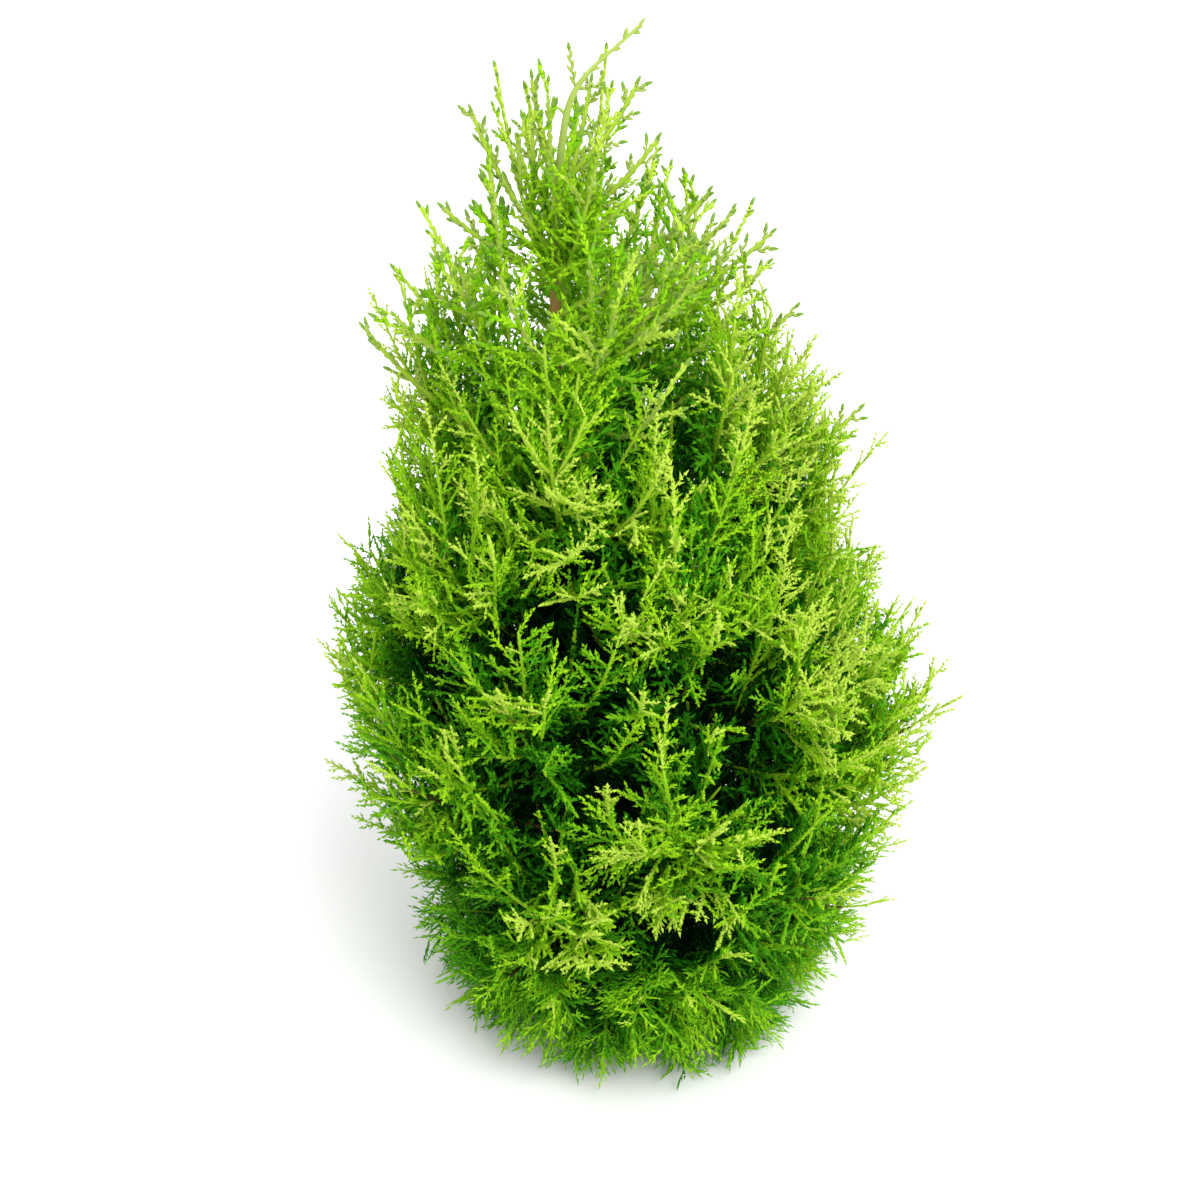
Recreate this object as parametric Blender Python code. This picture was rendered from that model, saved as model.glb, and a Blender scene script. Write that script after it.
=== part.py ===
"""A young lemon cypress, rooted in level ground: trunk, main boughs and plumes of scale-leaf sprays.

Units are metres with +Z up. The origin is the centre of the flat cut under the trunk, at ground
level. The camera of the reference view looks along +Y, so azimuth -90 degrees faces it.
"""

import math
import random
from typing import NamedTuple

import bmesh
import bpy
import numpy as np
from mathutils import Matrix, Vector
from mathutils.bvhtree import BVHTree

# The whole plant
HEIGHT = 0.452
GROUND_CLEARANCE = 0.002
SEATING_GAP = 0.0003
SPACE_MARGIN = 0.0007
LIMB_GUARD = 0.0009
SEED = 4107

# Trunk: (height, sideways place of its axis) and (height, radius)
TRUNK_AXIS = ((0.0, 0.0), (0.10, -0.010), (0.20, -0.0200), (0.30, -0.0265), (0.37, -0.0258),
              (0.41, -0.0225), (0.43, -0.0160), (HEIGHT, 0.0070))
TRUNK_RADIUS = ((0.0, 0.0098), (0.010, 0.0076), (0.035, 0.0064), (0.15, 0.0050), (0.30, 0.0032),
                (0.42, 0.0017), (HEIGHT, 0.0009))
TRUNK_SIDES = 12
TRUNK_RINGS = 26
FLARE_LOBES = 5
FLARE_DEPTH = 0.16
FLARE_HEIGHT = 0.022

# Crown outline: (height, sideways place of its middle) and (height, radius)
CROWN_AXIS = ((0.0, 0.005), (0.14, 0.009), (0.24, 0.003), (0.30, 0.001), (0.345, -0.013),
              (0.375, -0.008), (0.42, -0.019), (HEIGHT, -0.017))
CROWN_RADIUS = ((0.0, 0.100), (0.04, 0.118), (0.09, 0.129), (0.15, 0.144), (0.20, 0.139),
                (0.25, 0.120), (0.30, 0.101), (0.345, 0.091), (0.375, 0.073), (0.42, 0.039),
                (HEIGHT, 0.016))
OUTLINE_SLACK = 1.03

# Limbs
LIMB_SAMPLES = 28
LIMB_BEND = 0.55
BOUGH_SIDES = 6
BOUGH_RINGS = 5
BOUGH_TIP_RADIUS = 0.0017
BOUGH_ROOT_RADIUS = 0.0027
TWIG_SIDES = 3
STEM_RINGS = 5
STEM_ROOT_RADIUS = 0.0019
STEM_TIP_RADIUS = 0.0011
SIDE_TWIG_RINGS = 3
SIDE_TWIG_ANGLE = math.radians(38)
SIDE_TWIG_SIZES = (0.42, 0.34, 0.25)
SIDE_TWIG_LIFT = 0.25
SIDE_TWIG_START = 0.22
SIDE_TWIG_STEP = 0.30
SIDE_TWIG_SAMPLES = 7
SIDE_TWIG_BLADES = 1
SIDE_TWIG_BARE = 0.2
SIDE_ROOT_RADIUS = 0.0010
SIDE_TIP_RADIUS = 0.0009

# Sprays: flat toothed blades. Shares are of the blade's length.
BLADE_ANGLES = (math.radians(46), math.radians(34))
BLADE_LAST_PLACE = 0.96
END_BLADE_SHARE = 0.78
END_BLADE_FACING = 0.4
ARM_STRAY = 0.2
END_SINK = 0.0018
ROOT_SINK = 0.0009
SIDE_BLADE_SCALE = 0.88
BLADE_NECK = (0.08, 0.020)
BLADE_TEETH = ((0.46, 0.31), (0.71, 0.26), (0.87, 0.13))
BLADE_NOTCHES = ((0.38, 0.045), (0.64, 0.040))
BLADE_THICKNESS = 0.0018
BLADE_FAR_RIDGE = 0.60
BLADE_LIFT = 0.10
BLADE_SIZES = (1.0, 0.86, 0.72, 0.6)
BLADE_ROLLS = (0.0, 0.5, -0.5, 1.0)


class Tier(NamedTuple):
    """One ring of plumes. Angles are in degrees, lengths in metres."""

    name: str
    count: int
    turn: float
    root_height: float
    tip_height: float
    sag: float
    bough_share: float
    side_twigs: int
    blades: int
    bare_share: float
    blade_length: float
    colour: tuple


TIERS = (
    Tier("skirt", 7, -98, 0.030, 0.012, -0.018, 0.0, 2, 2, 0.35, 0.064, (0.115, 0.260, 0.025)),
    Tier("low", 7, -72, 0.044, 0.070, 0.003, 0.0, 2, 2, 0.35, 0.066, (0.120, 0.275, 0.022)),
    Tier("belly", 6, -112, 0.060, 0.130, 0.013, 0.42, 2, 3, 0.05, 0.068, (0.130, 0.310, 0.020)),
    Tier("waist", 6, -78, 0.084, 0.182, 0.021, 0.40, 2, 3, 0.05, 0.068, (0.150, 0.350, 0.022)),
    Tier("middle", 5, -114, 0.122, 0.232, 0.026, 0.0, 2, 4, 0.25, 0.068, (0.165, 0.385, 0.024)),
    Tier("shoulder", 5, -72, 0.168, 0.282, 0.029, 0.0, 2, 4, 0.25, 0.064, (0.185, 0.420, 0.026)),
    Tier("upper", 4, -100, 0.218, 0.338, 0.031, 0.0, 2, 4, 0.20, 0.058, (0.230, 0.470, 0.034)),
    Tier("neck", 4, 10, 0.282, 0.384, 0.026, 0.0, 1, 4, 0.15, 0.050, (0.300, 0.520, 0.050)),
    Tier("crest", 3, 180, 0.346, 0.434, 0.023, 0.0, 0, 4, 0.10, 0.036, (0.360, 0.560, 0.070)),
)

BARK_COLOUR = (0.205, 0.085, 0.035)
BOUGH_COLOUR = (0.190, 0.120, 0.040)


def clear_scene():
    for obj in list(bpy.data.objects):
        bpy.data.objects.remove(obj, do_unlink=True)


def smooth_value(points, at):
    """Values read at one place or many from a smooth curve through (place, value) points."""
    places, values = np.array(points).T
    slopes = np.empty(len(places))
    slopes[1:-1] = (values[2:] - values[:-2]) / (places[2:] - places[:-2])
    slopes[0] = (values[1] - values[0]) / (places[1] - places[0])
    slopes[-1] = (values[-1] - values[-2]) / (places[-1] - places[-2])
    at = np.clip(at, places[0], places[-1])
    i = np.clip(np.searchsorted(places, at) - 1, 0, len(places) - 2)
    span = places[i + 1] - places[i]
    t = (at - places[i]) / span
    start = (2 * t**3 - 3 * t**2 + 1) * values[i] + (t**3 - 2 * t**2 + t) * span * slopes[i]
    end = (3 * t**2 - 2 * t**3) * values[i + 1] + (t**3 - t**2) * span * slopes[i + 1]
    return start + end


def trunk_point(height):
    return Vector((smooth_value(TRUNK_AXIS, height), 0.0, height))


def trunk_radius(height):
    return smooth_value(TRUNK_RADIUS, height)


def crown_point(azimuth, height, share=1.0):
    """A point at this share of the crown's radius, azimuth in radians."""
    reach = share * smooth_value(CROWN_RADIUS, height)
    middle = smooth_value(CROWN_AXIS, height)
    return Vector((middle + reach * math.cos(azimuth), reach * math.sin(azimuth), height))


def inside_crown(points):
    """Whether every point is above ground and within the crown's outline."""
    x, y, z = points.T
    reach = np.hypot(x - smooth_value(CROWN_AXIS, z), y)
    within = reach <= OUTLINE_SLACK * smooth_value(CROWN_RADIUS, z)
    return bool((within & (z >= GROUND_CLEARANCE) & (z <= HEIGHT)).all())


def bezier(start, middle, end, samples):
    shares = [i / (samples - 1) for i in range(samples)]
    return [start * (1 - t) ** 2 + middle * (2 * t * (1 - t)) + end * t**2 for t in shares]


def limb_path(tier, index):
    """The whole limb, from the trunk's axis to the plume's furthest tip."""
    azimuth = math.radians(tier.turn + 360 * index / tier.count)
    root = trunk_point(tier.root_height)
    tip = crown_point(azimuth, tier.tip_height)
    middle = root.lerp(tip, LIMB_BEND)
    middle.z -= tier.sag
    return bezier(root, middle, tip, LIMB_SAMPLES)


def path_length(path):
    return sum((b - a).length for a, b in zip(path, path[1:]))


def cut_path(path, start, end):
    """The stretch of a path between two lengths along it."""
    kept = []
    gone = 0.0
    for a, b in zip(path, path[1:]):
        step = (b - a).length
        if not kept and gone + step > start:
            kept.append(a.lerp(b, (start - gone) / step))
        if kept and gone + step >= end:
            kept.append(a.lerp(b, (end - gone) / step))
            return kept
        if kept:
            kept.append(b)
        gone += step
    return kept


def spaced(path, count):
    """The path as this many points, evenly spaced along it."""
    total = path_length(path)
    last = path[-1]
    inner = [cut_path(path, total * i / (count - 1), total)[0] for i in range(count - 1)]
    return inner + [last]


def frames_along(points, spin=0.0):
    """A direction and a side vector at each point, with the first side vector turned by spin."""
    ways = []
    for i in range(len(points)):
        ahead = points[min(i + 1, len(points) - 1)] - points[max(i - 1, 0)]
        ways.append(ahead.normalized())
    side = Vector((0, 1, 0)) if abs(ways[0].y) < 0.8 else Vector((1, 0, 0))
    side = Matrix.Rotation(spin, 3, ways[0]) @ (side - ways[0] * side.dot(ways[0]))
    frames = []
    for way in ways:
        side = (side - way * side.dot(way)).normalized()
        frames.append((way, side.copy()))
    return frames


def mesh_object(name, vertices, faces, collection=None):
    mesh = bpy.data.meshes.new(name)
    mesh.from_pydata([tuple(v) for v in vertices], [], faces)
    mesh.update()
    obj = bpy.data.objects.new(name, mesh)
    (collection or bpy.context.scene.collection).objects.link(obj)
    return obj


def tube_mesh(points, radii, sides, frames=None, lobes=None):
    """Vertices and faces of a closed tapering tube. lobes gives a factor on the radius."""
    vertices = []
    for point, radius, (way, side) in zip(points, radii, frames or frames_along(points)):
        other = way.cross(side)
        for i in range(sides):
            angle = 2 * math.pi * i / sides
            swell = lobes(point, angle) if lobes else 1.0
            arm = side * math.cos(angle) + other * math.sin(angle)
            vertices.append(point + arm * radius * swell)
    faces = []
    for k in range(len(points) - 1):
        for i in range(sides):
            j = (i + 1) % sides
            low, high = k * sides, (k + 1) * sides
            faces.append((low + i, low + j, high + j, high + i))
    faces.append(tuple(reversed(range(sides))))
    faces.append(tuple(range((len(points) - 1) * sides, len(points) * sides)))
    return vertices, faces


def twig_mesh(path, frames, root_radius, tip_radius, rings):
    """A three-sided twig along a path, in as many rings."""
    picks = [round(i * (len(path) - 1) / (rings - 1)) for i in range(rings)]
    radii = [root_radius + (tip_radius - root_radius) * i / (rings - 1) for i in range(rings)]
    points = [path[pick] for pick in picks]
    return tube_mesh(points, radii, TWIG_SIDES, [frames[pick] for pick in picks])


def flare_lobes(point, angle):
    fade = max(0.0, 1 - point.z / FLARE_HEIGHT)
    return 1 + FLARE_DEPTH * fade * math.cos(FLARE_LOBES * angle)


def trunk_tube(growth=0.0):
    """The trunk's vertices and faces, its radius made larger by growth."""
    flare = [FLARE_HEIGHT * i / 4 for i in range(4)]
    above = TRUNK_RINGS - len(flare)
    span = HEIGHT - FLARE_HEIGHT
    heights = flare + [FLARE_HEIGHT + span * i / (above - 1) for i in range(above)]
    points = [trunk_point(height) for height in heights]
    radii = [trunk_radius(height) + growth for height in heights]
    vertices, faces = tube_mesh(points, radii, TRUNK_SIDES, lobes=flare_lobes)
    for vertex in vertices[:TRUNK_SIDES]:
        vertex.z = 0.0
    return vertices, faces


def blade_mesh(root, way, side, length):
    """Vertices and faces of one spray: a thin toothed blade that lifts towards its tip."""
    normal = side.cross(way).normalized()
    half = BLADE_THICKNESS / 2

    def place(along, across, up=0.0):
        lift = BLADE_LIFT * along * along * length
        return root + way * (along * length) + side * (across * length) + normal * (lift + up)

    (t1, t2, t3), (n1, n2) = BLADE_TEETH, BLADE_NOTCHES
    right = [BLADE_NECK, t1, n1, t2, n2, t3]
    vertices = [place(0.0, 0.0)]
    vertices += [place(along, across) for along, across in right]
    vertices.append(place(1.0, 0.0))
    vertices += [place(along, -across) for along, across in reversed(right)]
    outline = len(vertices)
    vertices += [place(BLADE_NECK[0], 0.0, half), place(BLADE_FAR_RIDGE, 0.0, half)]
    vertices += [place(BLADE_NECK[0], 0.0, -half), place(BLADE_FAR_RIDGE, 0.0, -half)]
    faces = []
    for near_ridge, flip in ((outline, False), (outline + 2, True)):
        far_ridge = near_ridge + 1
        fans = [(near_ridge, i, i + 1) for i in range(3)]
        fans += [(near_ridge, 3, far_ridge)]
        fans += [(far_ridge, i, i + 1) for i in range(3, outline - 3)]
        fans += [(near_ridge, far_ridge, outline - 3)]
        fans += [(near_ridge, i, (i + 1) % outline) for i in range(outline - 3, outline)]
        faces += [tuple(reversed(fan)) if flip else fan for fan in fans]
    return vertices, faces


class Space:
    """Keeps each plume to the points nearer to its own limb than to any other."""

    def __init__(self, paths):
        self.samples = np.array([[tuple(p) for p in spaced(path, LIMB_SAMPLES)] for path in paths])
        self.limbs = []

    def add_limb(self, vertices, faces):
        self.limbs.append(BVHTree.FromPolygons(vertices, faces))

    def holds(self, own, vertices, faces):
        corners = np.array([tuple(v) for v in vertices])
        if not inside_crown(corners):
            return False
        middles = [corners[list(face)].mean(axis=0) for face in faces]
        points = np.concatenate([corners, middles])
        apart = np.linalg.norm(points[:, None, None] - self.samples[None], axis=3).min(axis=2)
        mine = apart[:, own].copy()
        apart[:, own] = np.inf
        if (apart.min(axis=1) - mine).min() < 2 * SPACE_MARGIN:
            return False
        tree = BVHTree.FromPolygons(vertices, faces)
        return not any(limb.overlap(tree) for limb in self.limbs)


def flat_angle(flat):
    """The angle from a twig's side vector to the middle of one of its flats."""
    return math.pi * (1 + 2 * flat) / TWIG_SIDES


class Plume:
    """One mass: a stem, its side twigs and the blades on them, all within its own space."""

    def __init__(self, own, space, tier, draw):
        self.own = own
        self.space = space
        self.tier = tier
        self.draw = draw
        self.shapes = []
        self.trees = []

    def add_twig(self, vertices, faces):
        self.shapes.append((vertices, faces))
        self.trees.append(BVHTree.FromPolygons(vertices, faces))

    def add_blade(self, candidates):
        """Adds the first blade that has room, and none if all would leave the space.

        Only its short stalk, the faces that share vertex 0, may run into the mass's own shapes.
        """
        for root, way, side, length in candidates:
            vertices, faces = blade_mesh(root, way, side, length)
            if not self.space.holds(self.own, vertices, faces):
                continue
            tree = BVHTree.FromPolygons(vertices, [face for face in faces if 0 not in face])
            if not any(other.overlap(tree) for other in self.trees):
                self.shapes.append((vertices, faces))
                self.trees.append(tree)
                return

    def side_blade(self, middle, frame, first_flat, length):
        """Candidates for a blade out of one of the twig's three flats."""
        way, side = frame
        for size in BLADE_SIZES:
            for flat in range(TWIG_SIDES):
                turn = flat_angle(first_flat + flat) + self.draw.uniform(-ARM_STRAY, ARM_STRAY)
                arm = Matrix.Rotation(turn, 3, way) @ side
                for angle in BLADE_ANGLES:
                    ahead = (way * math.cos(angle) + arm * math.sin(angle)).normalized()
                    across = ahead.cross(way).normalized()
                    root = middle - ahead * ROOT_SINK
                    for roll in BLADE_ROLLS:
                        yield root, ahead, Matrix.Rotation(roll, 3, ahead) @ across, length * size

    def end_blade(self, tip, way, length):
        """Candidates for the blade in line with the end of a twig, flat side up and out."""
        outward = Vector((tip.x, tip.y, END_BLADE_FACING * math.hypot(tip.x, tip.y)))
        across = way.cross(outward).normalized()
        root = tip - way * END_SINK
        for size in BLADE_SIZES:
            for roll in BLADE_ROLLS:
                yield root, way, Matrix.Rotation(roll, 3, way) @ across, length * size

    def dress(self, path, frames, blades, length, start):
        """A blade at the end of a twig, and blades along it from the share start on."""
        self.add_blade(self.end_blade(path[-1], frames[-1][0], length))
        first_flat = self.draw.randrange(TWIG_SIDES)
        for i in reversed(range(blades)):
            share = start + (BLADE_LAST_PLACE - start) * (i + 0.5) / blades
            place = round(share * (len(path) - 1))
            self.add_blade(self.side_blade(path[place], frames[place], first_flat + i, length))

    def side_twig(self, path, frames, share, flat):
        """A twig that leaves the stem sideways and lifts a little. None if it has no room."""
        place = round(share * (len(path) - 1))
        way, side = frames[place]
        for size in SIDE_TWIG_SIZES:
            reach = size * path_length(path)
            for turn in range(TWIG_SIDES):
                arm = Matrix.Rotation(flat_angle(flat + turn), 3, way) @ side
                ahead = way * math.cos(SIDE_TWIG_ANGLE) + arm * math.sin(SIDE_TWIG_ANGLE)
                middle = path[place] + ahead * reach / 2
                end = path[place] + ahead * reach
                end.z += SIDE_TWIG_LIFT * reach
                twig = bezier(path[place], middle, end, SIDE_TWIG_SAMPLES)
                turned = frames_along(twig, self.draw.uniform(0, math.tau))
                shape = twig_mesh(twig, turned, SIDE_ROOT_RADIUS, SIDE_TIP_RADIUS, SIDE_TWIG_RINGS)
                if self.space.holds(self.own, *shape):
                    self.add_twig(*shape)
                    return twig, turned
        return None

    def grow(self, path):
        tier = self.tier
        frames = frames_along(path, self.draw.uniform(0, math.tau))
        self.add_twig(*twig_mesh(path, frames, STEM_ROOT_RADIUS, STEM_TIP_RADIUS, STEM_RINGS))
        first_flat = self.draw.randrange(TWIG_SIDES)
        twigs = []
        for i in range(tier.side_twigs):
            share = SIDE_TWIG_START + SIDE_TWIG_STEP * i
            twigs.append(self.side_twig(path, frames, share, first_flat + i))
        self.dress(path, frames, tier.blades, tier.blade_length, tier.bare_share)
        for twig in filter(None, twigs):
            length = tier.blade_length * SIDE_BLADE_SCALE
            self.dress(*twig, SIDE_TWIG_BLADES, length, SIDE_TWIG_BARE)


def fuse(name, shapes):
    """One closed body from shapes that run into each other."""
    parts = bpy.data.collections.new(name + "_parts")
    bpy.context.scene.collection.children.link(parts)
    body = mesh_object(name, *shapes[0])
    for i, (vertices, faces) in enumerate(shapes[1:]):
        mesh_object(f"{name}_part_{i}", vertices, faces, parts)
    join = body.modifiers.new("join", "BOOLEAN")
    join.operation = "UNION"
    join.solver = "EXACT"
    join.operand_type = "COLLECTION"
    join.collection = parts
    apply_modifiers(body)
    for obj in list(parts.objects):
        bpy.data.objects.remove(obj, do_unlink=True)
    bpy.data.collections.remove(parts)
    keep_main_body(body)
    return body


def apply_modifiers(obj):
    graph = bpy.context.evaluated_depsgraph_get()
    solid = bpy.data.meshes.new_from_object(obj.evaluated_get(graph))
    obj.modifiers.clear()
    obj.data = solid


def keep_main_body(obj):
    """Drops loose scraps, and the inner skins of sealed hollows, which fills them."""
    shape = bmesh.new()
    shape.from_mesh(obj.data)
    left = set(shape.verts)
    islands = []
    while left:
        island, edge = set(), [left.pop()]
        while edge:
            vertex = edge.pop()
            island.add(vertex)
            linked = {e.other_vert(vertex) for e in vertex.link_edges}
            edge += list(linked & left)
            left -= linked
        islands.append(island)
    islands.sort(key=len, reverse=True)
    for island in islands[1:]:
        bmesh.ops.delete(shape, geom=list(island), context="VERTS")
    shape.to_mesh(obj.data)
    shape.free()


def cut_clear(obj, cutter):
    cut = obj.modifiers.new("seat", "BOOLEAN")
    cut.operation = "DIFFERENCE"
    cut.solver = "EXACT"
    cut.object = cutter
    apply_modifiers(obj)
    keep_main_body(obj)


def finish_material(name, colour, roughness):
    material = bpy.data.materials.new(name)
    material.use_nodes = True
    surface = material.node_tree.nodes["Principled BSDF"]
    surface.inputs["Base Color"].default_value = (*colour, 1.0)
    surface.inputs["Roughness"].default_value = roughness
    surface.inputs["Metallic"].default_value = 0.0
    return material


def dress_object(obj, material, smooth):
    obj.data.materials.clear()
    obj.data.materials.append(material)
    if smooth:
        obj.data.shade_smooth()
        obj.data.set_sharp_from_angle(angle=math.radians(40))


def build_trunk():
    trunk = mesh_object("trunk", *trunk_tube())
    dress_object(trunk, finish_material("trunk bark", BARK_COLOUR, 0.85), True)
    cutter = mesh_object("trunk_cutter", *trunk_tube(SEATING_GAP))
    cutter.hide_render = True
    cutter.display_type = "WIRE"
    return cutter


def bough_tube(path, growth=0.0):
    points = spaced(path, BOUGH_RINGS)
    step = (BOUGH_TIP_RADIUS - BOUGH_ROOT_RADIUS) / (BOUGH_RINGS - 1)
    radii = [BOUGH_ROOT_RADIUS + step * i + growth for i in range(BOUGH_RINGS)]
    return tube_mesh(points, radii, BOUGH_SIDES)


def build_bough(name, path, cutter):
    bough = mesh_object(name, *bough_tube(path))
    cut_clear(bough, cutter)
    dress_object(bough, finish_material(name + " bark", BOUGH_COLOUR, 0.8), True)


def build_mass(name, plume, stem, cutter):
    plume.grow(stem)
    mass = fuse(name, plume.shapes)
    if not plume.tier.bough_share:
        cut_clear(mass, cutter)
    material = finish_material(name + " scale leaf", plume.tier.colour, 0.55)
    dress_object(mass, material, False)


def main():
    clear_scene()
    cutter = build_trunk()
    limbs = [(tier, i, limb_path(tier, i)) for tier in TIERS for i in range(tier.count)]
    space = Space([path for _, _, path in limbs])
    space.add_limb(*trunk_tube(LIMB_GUARD))
    stems = []
    for tier, i, path in limbs:
        total = path_length(path)
        split = tier.bough_share * total
        start = split + SEATING_GAP if split else 0.0
        stems.append(cut_path(path, start, total - END_BLADE_SHARE * tier.blade_length))
        if split:
            bough = cut_path(path, 0.0, split)
            space.add_limb(*bough_tube(bough, LIMB_GUARD))
            build_bough(f"bough_{tier.name}_{i + 1}", bough, cutter)
    for own, ((tier, i, _), stem) in enumerate(zip(limbs, stems)):
        plume = Plume(own, space, tier, random.Random(SEED + own))
        build_mass(f"foliage_{tier.name}_{i + 1}", plume, stem, cutter)


main()
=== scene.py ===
"""The looks of a young lemon cypress: bark, boughs, green shoots and plumes of scale-leaf sprays.

Units are metres with +Z up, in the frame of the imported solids: the origin is the flat cut under the
trunk, and the reference view looks along +Y, so azimuth -90 degrees faces it. Every plume grows on
from its solid's own limb: a limb bears arms, arms bear sprays, sprays bear branchlets and branchlets
bear single scale leaves.
"""

import logging
import math
from collections import defaultdict
from dataclasses import dataclass, field
from enum import Enum
from functools import lru_cache

import bpy
import numpy as np
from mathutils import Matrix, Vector


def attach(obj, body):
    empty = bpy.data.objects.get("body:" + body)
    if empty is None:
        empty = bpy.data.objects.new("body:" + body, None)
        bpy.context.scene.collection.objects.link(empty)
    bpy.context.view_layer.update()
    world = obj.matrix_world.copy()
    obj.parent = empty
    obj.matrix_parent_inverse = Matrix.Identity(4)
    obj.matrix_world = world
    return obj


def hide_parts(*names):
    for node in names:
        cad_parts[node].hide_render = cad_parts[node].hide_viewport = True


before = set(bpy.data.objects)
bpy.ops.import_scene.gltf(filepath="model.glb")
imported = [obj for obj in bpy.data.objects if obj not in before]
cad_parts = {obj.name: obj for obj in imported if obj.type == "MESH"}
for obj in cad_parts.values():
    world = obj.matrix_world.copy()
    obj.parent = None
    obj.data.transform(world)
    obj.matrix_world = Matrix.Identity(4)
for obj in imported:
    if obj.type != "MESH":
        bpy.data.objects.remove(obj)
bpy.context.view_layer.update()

Array = np.ndarray
Mesh = tuple[Array, Array]

BODY = "root"
SEED = 6343
GOLDEN_ANGLE = math.pi * (3 - math.sqrt(5))
UP = np.array([0.0, 0.0, 1.0])
MOST_TRIANGLES = 190_000

log = logging.getLogger("cypress")


class Stream(Enum):
    """The jobs that draw random numbers of their own, by their distance from the seed."""

    LIBRARY = 0
    TRUNK = 1
    BOUGHS = 2
    CREST = 3
    DEALING = 4
    TRUNK_SPRAYS = 5
    PLUMES = 100
    STEM_SCALES = 200


def seeded(stream: Stream, own: int = 0) -> np.random.Generator:
    """The random numbers of one job, or of one of its limbs, the same in every run."""
    return np.random.default_rng(SEED + stream.value + own)


def smooth_value(points: tuple, at: Array | float) -> Array:
    """Reads a smooth curve through (place, value) points.

    Args:
        points: The curve's points, in rising order of place.
        at: One place or many.

    Returns:
        The curve's value at each place.
    """
    places, values = np.array(points).T
    slopes = np.empty(len(places))
    slopes[1:-1] = (values[2:] - values[:-2]) / (places[2:] - places[:-2])
    slopes[0] = (values[1] - values[0]) / (places[1] - places[0])
    slopes[-1] = (values[-1] - values[-2]) / (places[-1] - places[-2])
    at = np.clip(at, places[0], places[-1])
    i = np.clip(np.searchsorted(places, at) - 1, 0, len(places) - 2)
    span = places[i + 1] - places[i]
    t = (at - places[i]) / span
    start = (2 * t**3 - 3 * t**2 + 1) * values[i] + (t**3 - 2 * t**2 + t) * span * slopes[i]
    end = (3 * t**2 - 2 * t**3) * values[i + 1] + (t**3 - t**2) * span * slopes[i + 1]
    return start + end


def unit(vectors: Array) -> Array:
    """The vectors, each made one long."""
    return vectors / np.linalg.norm(vectors, axis=-1, keepdims=True)


def across(way: Array, turn: float = 0.0) -> Array:
    """A unit vector square to a direction.

    Args:
        way: The direction, one long.
        turn: How far the result is turned about the direction, in radians.

    Returns:
        The unit vector.
    """
    hint = np.array([0.0, 1.0, 0.0]) if abs(way[1]) < 0.8 else np.array([1.0, 0.0, 0.0])
    side = unit(hint - way * (hint @ way))
    return side * math.cos(turn) + np.cross(way, side) * math.sin(turn)


def bezier(start: Array, middle: Array, end: Array, samples: int) -> Array:
    """Points along a curve that leaves start towards middle and arrives at end."""
    t = np.linspace(0, 1, samples)[:, None]
    return start * (1 - t) ** 2 + middle * (2 * t * (1 - t)) + end * t**2


@dataclass
class Route:
    """A path that can be read by length along it."""

    points: Array
    reached: Array = field(init=False)

    def __post_init__(self) -> None:
        """Works out the length along the path at each point."""
        steps = np.linalg.norm(np.diff(self.points, axis=0), axis=1)
        self.reached = np.concatenate([[0.0], np.cumsum(steps)])

    @property
    def length(self) -> float:
        """The path's whole length."""
        return float(self.reached[-1])

    def at(self, places: Array | float) -> Array:
        """The points at these lengths along the path."""
        return np.stack([np.interp(places, self.reached, axis) for axis in self.points.T], axis=-1)

    def way(self, place: float) -> Array:
        """The direction of the path at this length along it."""
        reach = self.length / 20
        return unit(self.at(min(place + reach, self.length)) - self.at(max(place - reach, 0.0)))

    def cut(self, start: float, end: float, samples: int) -> "Route":
        """The stretch between two lengths, as evenly spaced points."""
        return Route(self.at(np.linspace(start, end, samples)))

    def stem(self, start: float, end: float, samples: int) -> Array:
        """Points for a rod along the stretch between two lengths that stays full up to its end."""
        return self.at(np.append(np.linspace(start, end - 0.001, samples - 1), end))


@lru_cache(maxsize=None)
def rod_faces(sides: int, rings: int) -> Array:
    """The triangles of a rod that is pointed at both ends.

    Args:
        sides: How many sides it has.
        rings: How many rings of vertices it has between its ends.

    Returns:
        The triangles, as vertex numbers.
    """
    faces = []
    last = 1 + sides * rings
    for i in range(sides):
        j = (i + 1) % sides
        faces.append((0, 1 + j, 1 + i))
        for k in range(rings - 1):
            low, high = 1 + k * sides, 1 + (k + 1) * sides
            faces.append((low + i, low + j, high + j))
            faces.append((low + i, high + j, high + i))
        faces.append((last - sides + i, last - sides + j, last))
    return np.array(faces)


def tube(path: Array, radii: Array, sides: int, turn: float = 0.0) -> Mesh:
    """A slim body along a path that is as wide at its foot as beyond it, and pointed at its end.

    Args:
        path: Its points, from the foot, which is left open, to the pointed end.
        radii: The radius at each point but the last.
        sides: How many sides it has.
        turn: How far its sides are turned about it, in radians.

    Returns:
        Its vertices and triangles.
    """
    vertices, faces = rod(np.vstack([path[:1], path]), radii, sides, turn)
    return vertices[1:], faces[(faces > 0).all(axis=1)] - 1


def rod(path: Array, radii: Array, sides: int, turn: float = 0.0) -> Mesh:
    """A closed slim body along a path, pointed at both ends.

    Args:
        path: Its points, from one end to the other.
        radii: The radius at each point between the ends.
        sides: How many sides it has.
        turn: How far its sides are turned about it, in radians.

    Returns:
        Its vertices and triangles.
    """
    ways = np.gradient(path, axis=0)
    ways[0] = path[2] - path[0]
    ways = unit(ways)
    angles = math.tau * np.arange(sides)[:, None] / sides
    side = across(ways[0], turn)
    rings = []
    for point, way, radius in zip(path[1:-1], ways[1:-1], radii):
        side = unit(side - way * (side @ way))
        other = np.cross(way, side)
        rings.append(point + radius * (np.cos(angles) * side + np.sin(angles) * other))
    return np.vstack([path[:1], *rings, path[-1:]]), rod_faces(sides, len(rings))


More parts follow.
